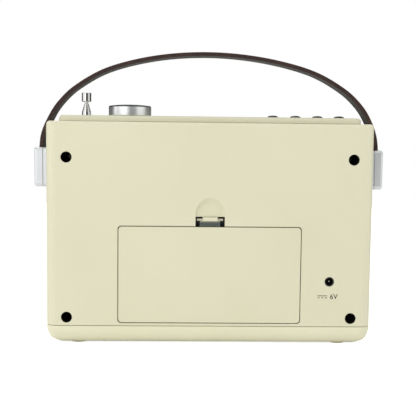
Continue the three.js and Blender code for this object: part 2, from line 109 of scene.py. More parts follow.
def object_position(material, scale=(1, 1, 1), offset=(0, 0, 0)):
    where = add_node(material, "ShaderNodeTexCoord")
    settings = {"Scale": scale, "Location": offset}
    return add_node(material, "ShaderNodeMapping", settings, {"Vector": where.outputs["Object"]}).outputs[0]


def per_metre(size_mm):
    """The texture scale that makes one cycle as long as a size in millimetres."""
    return 1 / (size_mm * MM)


# %% Tint, gloss and relief
def drifting_tint(material, shader, pattern, tints, spread):
    """The colour drifts from a dark to a light tint, and rests at both outside the middle spread."""
    tint = add_node(material, "ShaderNodeValToRGB", links={"Fac": pattern})
    for element, position, colour in zip(tint.color_ramp.elements, (0.5 - spread, 0.5 + spread), tints):
        element.position = position
        element.color = linear(colour)
    connect(material, tint.outputs["Color"], shader, "Base Color")


def uneven_gloss(material, shader, pattern, smoothest, roughest):
    limits = {"To Min": smoothest, "To Max": roughest}
    gloss = add_node(material, "ShaderNodeMapRange", limits, {"Value": pattern})
    connect(material, gloss.outputs[0], shader, "Roughness")


def fine_relief(material, shader, pattern, strength, depth_mm):
    settings = {"Strength": strength, "Distance": depth_mm * MM}
    bump = add_node(material, "ShaderNodeBump", settings, {"Height": pattern})
    connect(material, bump.outputs["Normal"], shader, "Normal")


# %% [markdown]
# ## Studio
# A weak soft light overhead, a key light high on the left, one broad softbox on each side of the
# camera, and one for the front. The room is a white sweep: it fills the shadows, and it is what the
# camera sees behind the radio. Polished metal mirrors a darker room, as it would between black flags,
# so the side softboxes show in it as the bright bands of a chromed tube, with dark between them. Above
# the flags the room is pale again, which a surface that looks upwards mirrors.

# %% Soft lights
bpy.context.scene.view_settings.view_transform = "Standard"
bpy.context.scene.view_settings.look = "None"


def soft_light(name, place, target, size, watts):
    data = bpy.data.lights.new(name, "AREA")
    data.shape = "RECTANGLE"
    data.size, data.size_y = size
    data.energy = watts
    lamp = bpy.data.objects.new(name, data)
    lamp.location = place
    lamp.rotation_euler = (Vector(target) - Vector(place)).to_track_quat("-Z", "Y").to_euler()
    bpy.context.scene.collection.objects.link(lamp)
    return lamp


SOFTBOXES = {
    "overhead_softbox": ((0, 0.3, 1.4), (0, 0, 0), (1.8, 1.8), 3.6),
    "left_softbox": ((1.35, 0.65, 0.35), (0, 0, 0.1), (1.5, 1.1), 6.6),
    "right_softbox": ((-1.35, 0.65, 0.35), (0, 0, 0.1), (1.5, 1.1), 5),
    "key_softbox": ((0.85, 1.9, 0.55), (0, 0, 0.1), (0.9, 0.8), 5.6),
    "front_softbox": ((0.3, -0.8, 1.7), (0, 0, 0.1), (1.2, 1.0), 5),
}
for name, settings in SOFTBOXES.items():
    soft_light(name, *settings)
print("studio:", len(SOFTBOXES), "soft lights")

# %% The room
ROOM_SEEN = (1, 1, 1, 1)
ROOM_FILL = (0.61, 0.61, 0.61, 1)
FLAG_TONE, CEILING_TONE = 0.1, 0.5
FLAG_TOP, CEILING_FOOT = (math.sin(math.radians(angle)) for angle in (14, 32))
room = bpy.data.worlds.new("studio_room")
room.use_nodes = True
bpy.context.scene.world = room
ray = add_node(room, "ShaderNodeLightPath")
direction = add_node(room, "ShaderNodeTexCoord")
rise = add_node(room, "ShaderNodeSeparateXYZ", links={"Vector": direction.outputs["Generated"]})
flags = {"From Min": FLAG_TOP, "From Max": CEILING_FOOT, "To Min": FLAG_TONE, "To Max": CEILING_TONE}
mirrored = add_node(room, "ShaderNodeMapRange", flags, {"Value": rise.outputs["Z"]})
lit = add_node(room, "ShaderNodeMix", {"data_type": "RGBA", "A": ROOM_FILL},
               {"Factor": ray.outputs["Is Glossy Ray"], "B": mirrored.outputs[0]})
seen = add_node(room, "ShaderNodeMix", {"data_type": "RGBA", "B": ROOM_SEEN},
                {"Factor": ray.outputs["Is Camera Ray"], "A": lit.outputs["Result"]})
room.node_tree.links.new(seen.outputs["Result"], room.node_tree.nodes["Background"].inputs["Color"])

# %% [markdown]
# ## Floor
# The floor is a white light table. The camera sees it glow, so it stays white out to its edge, while
# the light it throws back on the radio is only that of matt white paint, and a soft shadow remains.

# %% The floor
FLOOR_RADIUS = 1.5
FLOOR_GLOW = 0.7
bpy.ops.object.select_all(action="DESELECT")
bpy.ops.mesh.primitive_circle_add(vertices=96, radius=FLOOR_RADIUS, fill_type="NGON")
studio_floor = bpy.context.active_object
studio_floor.name = "studio_floor"
floor_paint, floor_shader = new_material("light_table_acrylic", Roughness=0.9, IOR=1.45)
floor_shader.inputs["Emission Color"].default_value = (1, 1, 1, 1)
cloud = add_node(floor_paint, "ShaderNodeTexNoise", {"Scale": per_metre(400)},
                 {"Vector": object_position(floor_paint)})
drifting_tint(floor_paint, floor_shader, cloud.outputs["Fac"], ("#F4F4F4", "#F8F8F8"), 0.5)
glow_ray = add_node(floor_paint, "ShaderNodeLightPath")
glow = add_node(floor_paint, "ShaderNodeMapRange", {"To Max": FLOOR_GLOW},
                {"Value": glow_ray.outputs["Is Camera Ray"]})
connect(floor_paint, glow.outputs[0], floor_shader, "Emission Strength")
studio_floor.data.materials.append(floor_paint)

# %% [markdown]
# ## Moulded ABS
# The case, door, panel and latch are injection-moulded ABS in warm cream. The mould is spark-eroded,
# so the surface is a fine satin with a grain of about 0.2 mm, which is drawn at 0.6 mm here so that
# it shows. Large, faint drifts of tint and gloss are what years of light and handling leave.


# %% Moulded ABS in cream
def moulded_abs(name, light_tint, dark_tint, roughness=0.46):
    material, shader = new_material(name, Roughness=roughness, IOR=1.54)
    drift_mm, gloss_mm, grain_mm = 90, 25, 0.6
    place = {"Vector": object_position(material)}
    drift = add_node(material, "ShaderNodeTexNoise", {"Scale": per_metre(drift_mm), "Detail": 3.0}, place)
    drifting_tint(material, shader, drift.outputs["Fac"], (dark_tint, light_tint), 0.2)
    gloss = add_node(material, "ShaderNodeTexNoise", {"Scale": per_metre(gloss_mm), "Detail": 4.0}, place)
    uneven_gloss(material, shader, gloss.outputs["Fac"], roughness - 0.05, roughness + 0.05)
    grain = add_node(material, "ShaderNodeTexNoise", {"Scale": per_metre(grain_mm), "Detail": 2.0}, place)
    fine_relief(material, shader, grain.outputs["Fac"], 0.06, 0.05)
    return material


cream_abs = moulded_abs("cream_moulded_abs", "#E2DFC3", "#DEDBBD")
base_abs = moulded_abs("cream_base_moulded_abs", "#E9E6CA", "#E5E2C3")
panel_abs = moulded_abs("cream_panel_moulded_abs", "#D7D5BB", "#D2CFB3")
black_abs = moulded_abs("black_moulded_abs", "#1D1D1E", "#161617", roughness=0.4)
grey_nylon = moulded_abs("grey_moulded_nylon", "#8F8E89", "#83827D", roughness=0.5)

# %% [markdown]
# ## Metals
# Three metals do the work. The knob is spun aluminium, clear anodised: turning leaves fine rings
# round its axis. The brackets are die-cast zinc with a brushed satin plating: long, straight, faint
# lines. The antenna and the display frame are brass tube and steel with polished chrome plating.


# %% Metals
def plain_metal(name, tint, roughness, smudge_mm=12.0, spread=0.06):
    """A plated or polished metal: even colour, with faint smudges in its gloss."""
    material, shader = new_material(name, Metallic=1.0, Base_Color=linear(tint))
    place = {"Vector": object_position(material)}
    smudge = add_node(material, "ShaderNodeTexNoise", {"Scale": per_metre(smudge_mm), "Detail": 4.0}, place)
    uneven_gloss(material, shader, smudge.outputs["Fac"], max(roughness - spread, 0.02), roughness + spread)
    return material


def lined_metal(name, tint, roughness, line_mm, along, depth=0.1, metallic=1.0):
    """A brushed metal: noise squeezed across the brushing and stretched forty times along it."""
    material, shader = new_material(name, Metallic=metallic, Base_Color=linear(tint))
    stretch = [1 / 40 if axis == along else 1 for axis in "XYZ"]
    place = {"Vector": object_position(material, scale=stretch)}
    lines = add_node(material, "ShaderNodeTexNoise", {"Scale": per_metre(line_mm), "Detail": 3.0}, place)
    uneven_gloss(material, shader, lines.outputs["Fac"], roughness - 0.08, roughness + 0.08)
    fine_relief(material, shader, lines.outputs["Fac"], depth, 0.03)
    return material


def spun_metal(name, tint, roughness, ring_mm, centre):
    """A turned metal: rings about an upright axis through a centre point."""
    material, shader = new_material(name, Metallic=1.0, Base_Color=linear(tint))
    place = object_position(material, offset=[-value for value in centre])
    rings = {"wave_type": "RINGS", "rings_direction": "Z", "Scale": per_metre(ring_mm) / 20,
             "Distortion": 0.6, "Detail": 2.0, "Detail Scale": 3.0}
    wave = add_node(material, "ShaderNodeTexWave", rings, {"Vector": place})
    uneven_gloss(material, shader, wave.outputs["Fac"], roughness - 0.05, roughness + 0.07)
    fine_relief(material, shader, wave.outputs["Fac"], 0.08, 0.03)
    return material


knob_low, knob_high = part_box("volume_knob")
knob_centre = (knob_low + knob_high) / 2
spun_aluminium = spun_metal("spun_anodised_aluminium", "#EEF0F1", 0.3, 0.5, knob_centre)
satin_zinc = lined_metal("lacquered_satin_zinc", "#E4E7E9", 0.4, 0.35, along="Z", metallic=0.8)
chrome_plate = plain_metal("polished_chrome_plate", "#C9C8C5", 0.07, spread=0.03)
dark_nickel = plain_metal("polished_black_nickel", "#5E5A55", 0.2)
zinc_steel = plain_metal("zinc_plated_steel", "#A9AAA8", 0.34)
spring_steel = plain_metal("bright_spring_steel", "#8F918F", 0.24)
# Darker aluminium for the knob's rim bevel: a painted dark reflection.
rim_dark_reflection = plain_metal("aluminium_rim_painted_reflection", "#5C5E60", 0.25)
# Darker spring steel for the latch's leaf: painted shade of the gap it sits in.
leaf_shade_steel = plain_metal("spring_steel_painted_shade", "#7A827D", 0.34)
ferrite = plain_metal("painted_ferrite_magnet", "#4A4846", 0.5)

# %% [markdown]
# ## Leather, rubber and the rest
# The strap is split cowhide: a dyed brown grain side, a darker painted edge and a grey felt lining
# glued to its underside. Leather grain is a net of small rounded cells about a millimetre across,
# which Voronoi cells draw well. Rubber feet are matt and slightly dusty.


# %% Leather, lining, rubber, paper, board and glass
def grained(name, light_tint, dark_tint, cell_mm, roughness, depth, sheen=0.0):
    """A material whose surface is a net of rounded cells: leather grain, felt or rubber."""
    material, shader = new_material(name, Roughness=roughness, Sheen_Weight=sheen)
    place = {"Vector": object_position(material)}
    net = {"feature": "SMOOTH_F1", "Scale": per_metre(cell_mm), "Smoothness": 0.6}
    cells = add_node(material, "ShaderNodeTexVoronoi", net, place)
    drift = add_node(material, "ShaderNodeTexNoise", {"Scale": per_metre(cell_mm * 9), "Detail": 5.0}, place)
    drifting_tint(material, shader, drift.outputs["Fac"], (dark_tint, light_tint), 0.18)
    fine_relief(material, shader, cells.outputs["Distance"], depth, 0.2)
    return material


brown_leather = grained("dyed_grain_leather", "#5C3F38", "#482F2A", 0.9, 0.6, 0.35)
painted_edge = grained("painted_leather_edge", "#402620", "#2E1A16", 0.7, 0.6, 0.2)
felt_lining = grained("grey_felt_lining", "#38332F", "#2E2A26", 0.5, 0.95, 0.5, sheen=0.1)
speaker_cloth = grained("black_speaker_cloth", "#211F1E", "#181616", 0.5, 0.95, 0.5, sheen=0.2)
# Dark olive for the door's rim and the rebate under it: painted shade of the gap round the door.
door_gap_shade = grained("olive_door_gap_shade", "#3D3829", "#302B1E", 0.4, 0.95, 0.5)
pale_rubber = grained("pale_moulded_elastomer", "#CBC6A8", "#BEB998", 0.8, 0.8, 0.3)
cone_paper = grained("pressed_cone_paper", "#2A2724", "#1E1C1A", 0.8, 0.9, 0.5)
board_laminate = grained("green_solder_mask", "#2E6B45", "#245738", 1.5, 0.35, 0.1)


def tinted_glass(name, tint):
    material, shader = new_material(name, Base_Color=linear(tint), Roughness=0.05, IOR=1.49,
                                    Transmission_Weight=0.96)
    place = {"Vector": object_position(material)}
    smear = add_node(material, "ShaderNodeTexNoise", {"Scale": per_metre(18), "Detail": 4.0}, place)
    uneven_gloss(material, shader, smear.outputs["Fac"], 0.03, 0.09)
    return material


display_acrylic = tinted_glass("smoked_acrylic_window", "#D3D9DC")
screen_panel = moulded_abs("liquid_crystal_panel", "#A9B49E", "#A1AC96", roughness=0.3)
screen_digit = moulded_abs("liquid_crystal_segments", "#161B18", "#121614", roughness=0.3)
grille_paint = moulded_abs("pearl_painted_steel", "#D8D2BE", "#D1CBB6", roughness=0.36)
marking_ink = moulded_abs("grey_pad_printed_ink", "#44443F", "#3A3A36", roughness=0.5)
print("materials:", len(bpy.data.materials))

# %% [markdown]
# ## Workshop tools
# Every piece is made with the same few moves: add a block or a disc, bevel chosen edges, extrude and
# resize, and cut one solid from another with an exact Boolean. Putting each move in a function keeps
# the later cells short. An operator acts on all that is selected, so each one starts by selecting
# one object alone.


# %% Selecting, adding and shading
TOUCH = 0.001 * MM


def only(obj):
    bpy.ops.object.select_all(action="DESELECT")
    obj.select_set(True)
    bpy.context.view_layer.objects.active = obj


def fresh(name, add, **settings):
    """Runs an operator that adds an object, with nothing else selected, and names what it made."""
    bpy.ops.object.select_all(action="DESELECT")
    add(**settings)
    made = bpy.context.active_object
    made.name = made.data.name = name
    return made


def apply_place(obj):
    only(obj)
    bpy.ops.object.transform_apply(location=True, rotation=True, scale=True)


def modify(obj, kind, **settings):
    """Adds a modifier with its settings and applies it."""
    modifier = obj.modifiers.new(kind.lower(), kind)
    for key, value in settings.items():
        setattr(modifier, key, value)
    only(obj)
    bpy.ops.object.modifier_apply(modifier=modifier.name)
    return obj


def repeat(obj, count, step, **settings):
    """Repeats a shape along a step; the copies are part of the same mesh."""
    return modify(obj, "ARRAY", count=count, use_relative_offset=False, use_constant_offset=True,
                  constant_offset_displace=step, **settings)


def join(pieces):
    """Joins pieces that don't cross into the first of them."""
    only(pieces[0])
    for piece in pieces[1:]:
        piece.select_set(True)
    bpy.ops.object.join()
    return pieces[0]


def block(name, low, high):
    """A plain block between two corners, the start of every moulded piece."""
    low, high = Vector(low), Vector(high)
    made = fresh(name, bpy.ops.mesh.primitive_cube_add, size=1, location=(low + high) / 2, scale=high - low)
    apply_place(made)
    return made


def pick_edges(obj, wanted):
    """Selects, in edit mode, the edges whose two end points answer a question."""
    only(obj)
    bpy.ops.object.mode_set(mode="EDIT")
    bpy.ops.mesh.select_mode(type="EDGE")
    bpy.ops.mesh.select_all(action="DESELECT")
    bpy.ops.object.mode_set(mode="OBJECT")
    points = obj.data.vertices
    for edge in obj.data.edges:
        edge.select = wanted(points[edge.vertices[0]].co, points[edge.vertices[1]].co)
    bpy.ops.object.mode_set(mode="EDIT")


def bevel_edges(obj, wanted, width, segments=3):
    pick_edges(obj, wanted)
    bpy.ops.mesh.bevel(offset=width, segments=segments, affect="EDGES", clamp_overlap=True)
    bpy.ops.object.mode_set(mode="OBJECT")
    return obj


def runs_along(axis):
    """A question for bevel_edges: does the edge run along this axis and no other?"""
    others = [i for i in range(3) if i != axis]
    return lambda a, b: all(abs(a[i] - b[i]) < TOUCH for i in others)


def lies_at(axis, *levels):
    """A question for bevel_edges: do both ends lie at one of these levels of the axis?"""
    return lambda a, b: any(abs(a[axis] - level) < TOUCH and abs(b[axis] - level) < TOUCH for level in levels)


def rounded_block(name, low, high, axis, corner, corner_steps=8, edge=0.0, edge_steps=3):
    """A block with its four edges along one axis rounded, and then its two rims softened."""
    made = bevel_edges(block(name, low, high), runs_along(axis), corner, corner_steps)
    if edge > 0:
        bevel_edges(made, lies_at(axis, Vector(low)[axis], Vector(high)[axis]), edge, edge_steps)
    return made


def smooth(obj, angle=32):
    """Smooth shading, with normals weighted by area so that flats next to a rounded edge stay flat."""
    only(obj)
    bpy.ops.object.shade_smooth_by_angle(angle=math.radians(angle))
    return modify(obj, "WEIGHTED_NORMAL", keep_sharp=True)


# %% [markdown]
# A turned piece starts as a disc. The disc is extruded up in rings, each resized to the next radius
# of the profile, just as a lathe's profile is read from the tool rest. A ring that turns back down
# makes a bore. A tube starts as an open ring, and its two free rims are bridged at the end.

# %% Turning on the lathe
LYING = {"X": (0, math.pi / 2, 0), "Y": (-math.pi / 2, 0, 0), "Z": (0, 0, 0)}


def in_mm(profile):
    return [(radius * MM, height * MM) for radius, height in profile]


def arc(centre, reach, start, end, steps):
    """The rings of a rounded edge, from one angle to another in degrees, both ends included."""
    angles = [math.radians(start + (end - start) * step / steps) for step in range(steps + 1)]
    return [(centre[0] + reach[0] * math.cos(a), centre[1] + reach[1] * math.sin(a)) for a in angles]


def turned(name, profile, centre, axis="Z", steps=40, tube=False):
    """profile is a list of (radius, height) rings in metres; height runs along the axis."""
    radius, height = profile[0]
    fill = "NOTHING" if tube else "NGON"
    made = fresh(name, bpy.ops.mesh.primitive_circle_add, vertices=steps, radius=radius, fill_type=fill)
    bpy.ops.object.mode_set(mode="EDIT")
    bpy.ops.mesh.select_all(action="SELECT")
    bpy.ops.transform.translate(value=(0, 0, height))
    for next_radius, next_height in profile[1:]:
        rise = {"value": (0, 0, next_height - height)}
        if tube:
            bpy.ops.mesh.extrude_edges_move(TRANSFORM_OT_translate=rise)
        else:
            bpy.ops.mesh.extrude_region_move(TRANSFORM_OT_translate=rise)
        if next_radius == 0:
            bpy.ops.mesh.merge(type="CENTER")
            break
        spread = next_radius / radius
        bpy.ops.transform.resize(value=(spread, spread, 1), center_override=(0, 0, next_height))
        radius, height = next_radius, next_height
    if tube:
        bpy.ops.mesh.select_all(action="DESELECT")
        bpy.ops.mesh.select_non_manifold()
        bpy.ops.mesh.bridge_edge_loops()
    bpy.ops.mesh.select_all(action="SELECT")
    bpy.ops.mesh.normals_make_consistent(inside=False)
    bpy.ops.object.mode_set(mode="OBJECT")
    made.rotation_euler = LYING[axis]
    made.location = centre
    apply_place(made)
    return made


# %% [markdown]
# Booleans are how a mould designer thinks: this boss is added, that pocket is cut away. The exact
# solver keeps edges crisp. Each cutter is thrown away after its cut.


# %% Joining and cutting
def combine(obj, other, operation):
    modify(obj, "BOOLEAN", operation=operation, solver="EXACT", object=other)
    bpy.data.objects.remove(other)
    return obj


def carve(obj, *cutters):
    for cutter in cutters:
        combine(obj, cutter, "DIFFERENCE")
    return obj


def fuse(obj, *others):
    for other in others:
        combine(obj, other, "UNION")
    return obj


def box_middle(box):
    return (box[0] + box[1]) / 2


def axis_place(box, axis):
    """Where an axis through the middle of a box crosses the plane at its foot."""
    place = box_middle(box)
    place[axis] = 0
    return place


def finish_piece(obj, body, material, slot, *replaced, angle=32):
    """Shades a piece, gives it its material, and hands it to the frame."""
    smooth(obj, angle)
    if material:
        obj.data.materials.clear()
        obj.data.materials.append(material)
    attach(obj, body)
    if replaced:
        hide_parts(*replaced)
    print("made", obj.name, "with", len(obj.data.polygons), "faces")
    return obj


# %% Faces chosen by place or direction, and a flared end
def pick_faces(obj, wanted):
    """Selects, in edit mode, the faces whose centre and normal answer a question."""
    only(obj)
    bpy.ops.object.mode_set(mode="EDIT")
    bpy.ops.mesh.select_mode(type="FACE")
    bpy.ops.mesh.select_all(action="DESELECT")
    bpy.ops.object.mode_set(mode="OBJECT")
    for face in obj.data.polygons:
        face.select = wanted(face.center, face.normal)
    bpy.ops.object.mode_set(mode="EDIT")


def extrude(move):
    bpy.ops.mesh.extrude_region_move(TRANSFORM_OT_translate={"value": move})


def flare(obj, axis, rise, grow):
    """Extrudes the end face that looks along an axis, and spreads the new face by grow on every side."""
    lows = [min(point.co[i] for point in obj.data.vertices) for i in range(3)]
    highs = [max(point.co[i] for point in obj.data.vertices) for i in range(3)]
    pick_faces(obj, lambda centre, normal: abs(centre[axis] - highs[axis]) < TOUCH and normal[axis] > 0.9)
    extrude([rise if i == axis else 0 for i in range(3)])
    spread = [1 + 2 * grow / (high - low) for low, high in zip(lows, highs)]
    spread[axis] = 1
    centre = [(low + high) / 2 for low, high in zip(lows, highs)]
    bpy.ops.transform.resize(value=spread, center_override=centre)
    bpy.ops.object.mode_set(mode="OBJECT")
    return obj


def drill(obj, radius, low, high, centre, axis="Y", lip=0.0, steps=48):
    """Cuts a round hole. With a lip the drill's end flares, which leaves a small broken edge."""
    profile = [(radius, low), (radius, high - lip)]
    if lip:
        profile.append((radius + 2 * lip, high + lip))
    return carve(obj, turned("drill", profile, centre, axis, steps))


# %% [markdown]
# ## The case
# The case is two shells on a base tray. All three come from one hollow box, so that their outer
# surface runs on across the seams. Its rims have three radii: soft round the base, tighter on the
# uprights and crisp at the top. One Bevel modifier does all three at once, by edge weight, and it
# blends the corners where the radii meet. The hollow inside is the same box, one wall smaller. A cutter
# that goes right through a wall has its two ends clear of it, and a slice reaches beyond the radio.

# %% Places read from the frame
rear_low, case_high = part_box("rear_shell")
front_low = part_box("front_shell")[0]
tray_low, tray_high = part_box("base_tray")
case_low = Vector((rear_low.x, front_low.y, tray_low.z))
WALL = 2.6 * MM
BASE_RADIUS = 12 * MM
UPRIGHT_RADIUS = 8.5 * MM
TOP_RADIUS = 3.4 * MM
back_face = case_high.y
inner_back = back_face - WALL
SPLIT_Y = 16 * MM
GAP = 0.3 * MM
BEYOND = 200 * MM
THROUGH_FRONT = (-50 * MM, -40 * MM)
THROUGH_ROOF = (170 * MM, 190 * MM)
THROUGH_SIDE = (120 * MM, 150 * MM)
print("case", [round(value / MM, 1) for value in case_high - case_low], "mm")


# %% The hollow box
def case_blank(name, inset):
    low = case_low + Vector((inset, inset, inset))
    high = case_high - Vector((inset, inset, inset))
    blank = block(name, low, high)
    weights = blank.data.attributes.new("bevel_weight_edge", "FLOAT", "EDGE")
    widest = BASE_RADIUS - inset
    for edge, weight in zip(blank.data.edges, weights.data):
        a, b = (blank.data.vertices[i].co for i in edge.vertices)
        if abs(a.z - b.z) > WALL:
            radius = UPRIGHT_RADIUS - inset
        elif a.z < (low.z + high.z) / 2:
            radius = widest
        else:
            radius = max(TOP_RADIUS - inset, 0.4 * MM)
        weight.value = radius / widest
    return modify(blank, "BEVEL", limit_method="WEIGHT", width=widest, segments=10)


def shell_between(name, low, high):
    """The stretch of the hollow box between two corners."""
    shell = carve(case_blank(name, 0), case_blank("hollow", WALL))
    return combine(shell, block("slice", low, high), "INTERSECT")


# %% [markdown]
# Where two mouldings meet, each has a tiny chamfer, because a sharp plastic edge would chip. The two
# chamfers make the fine shadow line that runs round the case.


# %% Chamfers along the seams
SEAM_CHAMFER = 0.5 * MM


def from_outline(point):
    """How far a point is outside the case's plan outline; the walls' inside is below minus one wall."""
    corner = Vector((case_high.x - UPRIGHT_RADIUS, case_high.y - UPRIGHT_RADIUS))
    over = Vector((abs(point.x) - corner.x, abs(point.y) - corner.y))
    if over.x > 0 and over.y > 0:
        return over.length - UPRIGHT_RADIUS
    return max(over.x, over.y) - UPRIGHT_RADIUS


def chamfer_seam(obj, axis, level):
    def on_outer_rim(a, b):
        level_both = lies_at(axis, level)(a, b)
        if axis == 2:
            return level_both and from_outline(a) > -WALL / 2 and from_outline(b) > -WALL / 2
        outside = [max(abs(p.x) - case_high.x, p.z - case_high.z, case_low.z - p.z) for p in (a, b)]
        near_corner = [p.z < case_low.z + BASE_RADIUS for p in (a, b)]
        return level_both and all(o > -WALL / 2 or n for o, n in zip(outside, near_corner))
    return bevel_edges(obj, on_outer_rim, SEAM_CHAMFER, 2)


# %% [markdown]
# ### Rear shell
# Everything that shows from behind is here. Four deep wells lead to the case screws. The battery bay
# is a box with a ledge round its mouth that the door lies on, and above it a chamber holds the spring
# latch. A finger scoop shaped like an arch lets a fingertip reach the latch. Each opening is cut with
# a flared cutter, which leaves the small broken edge that catches the light.

# %% Rear shell: walls, wells and bay
screws = [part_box(f"case_screw_{i}") for i in (1, 2, 3, 4)]
well_places = [axis_place(box, 1) for box in screws]
screw_head = screws[0][1].y
well_floor = screw_head - 5.8 * MM
WELL_RADIUS = 4.35 * MM
BOSS_RADIUS = 6.3 * MM
door_low, door_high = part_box("battery_door")
door_bottom = door_low.z + 2 * MM
DOOR_GAP = 0.5 * MM
LEDGE_HALF, LEDGE_TOP = 76 * MM, 98 * MM
BAY_HALF, BAY_BOTTOM, BAY_TOP = 69.7 * MM, 20.8 * MM, 91 * MM
BAY_BACK = 4.4 * MM
BAY_WALL = 1.8 * MM
SLOT_HALF, SLOT_TOP, SLOT_BACK = 11.6 * MM, 102.9 * MM, 35.4 * MM
CHAMBER_HALF, CHAMBER_TOP, CHAMBER_BACK = 14.5 * MM, 120.2 * MM, 33.5 * MM
LAP = 0.5 * MM

rear_split = SPLIT_Y + GAP / 2
rear = shell_between("rear_case_shell", (-BEYOND, rear_split, rear_low.z), (BEYOND, BEYOND, BEYOND))
rear = chamfer_seam(rear, 2, rear_low.z)
rear = chamfer_seam(rear, 1, rear_split)
for place in well_places:
    boss = [(BOSS_RADIUS, well_floor), (BOSS_RADIUS, inner_back + LAP)]
    fuse(rear, turned("boss", boss, place, "Y", 32))
into_wall = inner_back + LAP
ledge_low = (-LEDGE_HALF, door_low.y - 1.1 * MM, rear_low.z + GAP)
fuse(rear,
     block("ledge", ledge_low, (LEDGE_HALF, into_wall, LEDGE_TOP)),
     block("bay", (-BAY_HALF - BAY_WALL, BAY_BACK - BAY_WALL, BAY_BOTTOM - BAY_WALL),
           (BAY_HALF + BAY_WALL, into_wall, BAY_TOP + BAY_WALL)),
     block("chamber", (-CHAMBER_HALF, CHAMBER_BACK, BAY_TOP), (CHAMBER_HALF, into_wall, CHAMBER_TOP)))
print("rear shell has", len(rear.data.polygons), "faces before its openings")


# %% Rear shell: the openings
DOOR_CORNER = 2.8 * MM
HINGE_XS = (-46 * MM, 46 * MM)
HINGE_HALF = 6 * MM
ANTENNA_HOLE = 4.1 * MM
INLET_HOLE = 3.8 * MM
SHANK_HOLE = 2 * MM
jack_low, jack_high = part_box("dc_jack")
jack_place = axis_place((jack_low, jack_high), 1)
antenna_place = axis_place(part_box("antenna_rod"), 2)


def finger_scoop():
    """Half of a tapering oval plug: its floor is smaller than its mouth, most of all at the top."""
    mouth, floor_size, depth = (11.8 * MM, 14.2 * MM), (10.4 * MM, 10.2 * MM), 2.8 * MM
    centre = Vector((0, back_face, 104 * MM))
    plug = fresh("plug", bpy.ops.mesh.primitive_cylinder_add, vertices=64, radius=1, depth=depth,
                 rotation=LYING["Y"], location=centre - Vector((0, depth / 2, 0)))
    apply_place(plug)
    pick_faces(plug, lambda face, normal: normal.y > 0.9)
    bpy.ops.transform.resize(value=(mouth[0], 1, mouth[1]), center_override=centre)
    bpy.ops.object.mode_set(mode="OBJECT")
    pick_faces(plug, lambda face, normal: normal.y < -0.9)
    bpy.ops.transform.resize(value=(floor_size[0], 1, floor_size[1]), center_override=centre)
    bpy.ops.mesh.bevel(offset=0.9 * MM, segments=4, affect="EDGES")
    bpy.ops.object.mode_set(mode="OBJECT")
    flare(plug, 1, 0.6 * MM, 0.9 * MM)
    return combine(plug, block("half", (-1, 0, SLOT_TOP - 0.5 * MM), (1, 1, 1)), "INTERSECT")


mouth_low = Vector((door_low.x - DOOR_GAP, door_low.y + 1.4 * MM - GAP, door_bottom - DOOR_GAP))
mouth_high = Vector((door_high.x + DOOR_GAP, back_face - SEAM_CHAMFER, door_high.z + DOOR_GAP))
doorway = rounded_block("doorway", mouth_low, mouth_high, 1, DOOR_CORNER)
flare(doorway, 1, 2 * SEAM_CHAMFER, 2 * SEAM_CHAMFER)
pocket = block("pocket", (-BAY_HALF, BAY_BACK, BAY_BOTTOM), (BAY_HALF, BEYOND, BAY_TOP))
latch_slot = block("latch_slot", (-SLOT_HALF, SLOT_BACK, BAY_TOP - 3 * MM), (SLOT_HALF, BEYOND, SLOT_TOP))
carve(rear, doorway, pocket, latch_slot, finger_scoop())
for x in HINGE_XS:
    carve(rear, block("hinge_slot", (x - HINGE_HALF - 0.6 * MM, 38.3 * MM, 15 * MM),
                      (x + HINGE_HALF + 0.6 * MM, inner_back - 0.1 * MM, 21 * MM)))
drill(rear, INLET_HOLE, inner_back - LAP, back_face, jack_place, lip=0.2 * MM)
for place in well_places:
    drill(rear, WELL_RADIUS, screw_head - 2.9 * MM, back_face, place, lip=0.25 * MM)
    drill(rear, SHANK_HOLE, screw_head - 13 * MM, screw_head, place, steps=20)
drill(rear, ANTENNA_HOLE, *THROUGH_ROOF, antenna_place, "Z")

# %% [markdown]
# The faces inside the wells and the latch slot are painted black, which is painted shade for the dark
# deep inside them, and the rebate that the door closes on takes a dark olive, painted shade for the gap
# round the door. Only the faces inside take these materials; the broken edges stay cream.


# %% Rear shell: finishes and hand-over
HAIR = 0.05 * MM


def paint_faces(obj, material, wanted):
    """Adds a second material and gives it to the faces that answer a question."""
    obj.data.materials.append(material)
    index = len(obj.data.materials) - 1
    for face in obj.data.polygons:
        if wanted(face.center):
            face.material_index = index
    return obj


def shade_inside_the_latch_slot(centre):
    in_front = abs(centre.x) < SLOT_HALF + HAIR and BAY_TOP < centre.z < SLOT_TOP + HAIR
    return in_front and SLOT_BACK - 0.4 * MM < centre.y < back_face - 0.6 * MM


def shade_inside_a_well(centre):
    reaches = [math.hypot(centre.x - place.x, centre.z - place.z) for place in well_places]
    return min(reaches) < WELL_RADIUS + HAIR and well_floor + 1 * MM < centre.y < back_face - HAIR


def shade_round_the_door(centre):
    low, high = mouth_low - Vector([TOUCH * 10] * 3), mouth_high + Vector([TOUCH * 10] * 3)
    in_front = low.x < centre.x < high.x and low.z < centre.z < high.z
    return in_front and low.y < centre.y < back_face - SEAM_CHAMFER - HAIR


rear.data.materials.append(cream_abs)
# Painted shade: the wells and the latch slot are black inside, for the dark deep in them.
paint_faces(rear, black_abs, lambda centre: shade_inside_a_well(centre) or shade_inside_the_latch_slot(centre))
# Painted shade: the rebate under the door takes the dark olive.
paint_faces(rear, door_gap_shade, shade_round_the_door)
finish_piece(rear, "case", None, "case_plastic", "rear_shell")

# %% [markdown]
# ### Base tray, front shell and top panel
# The tray is the foot of the case, with a round recess for each rubber foot. The front shell holds
# the grille, the display window and the speaker opening, and a black cloth is glued in the recess
# behind the grille. The top panel is a shallow tray turned
# upside down, and its holes let the buttons, the knob's bush and the antenna through.

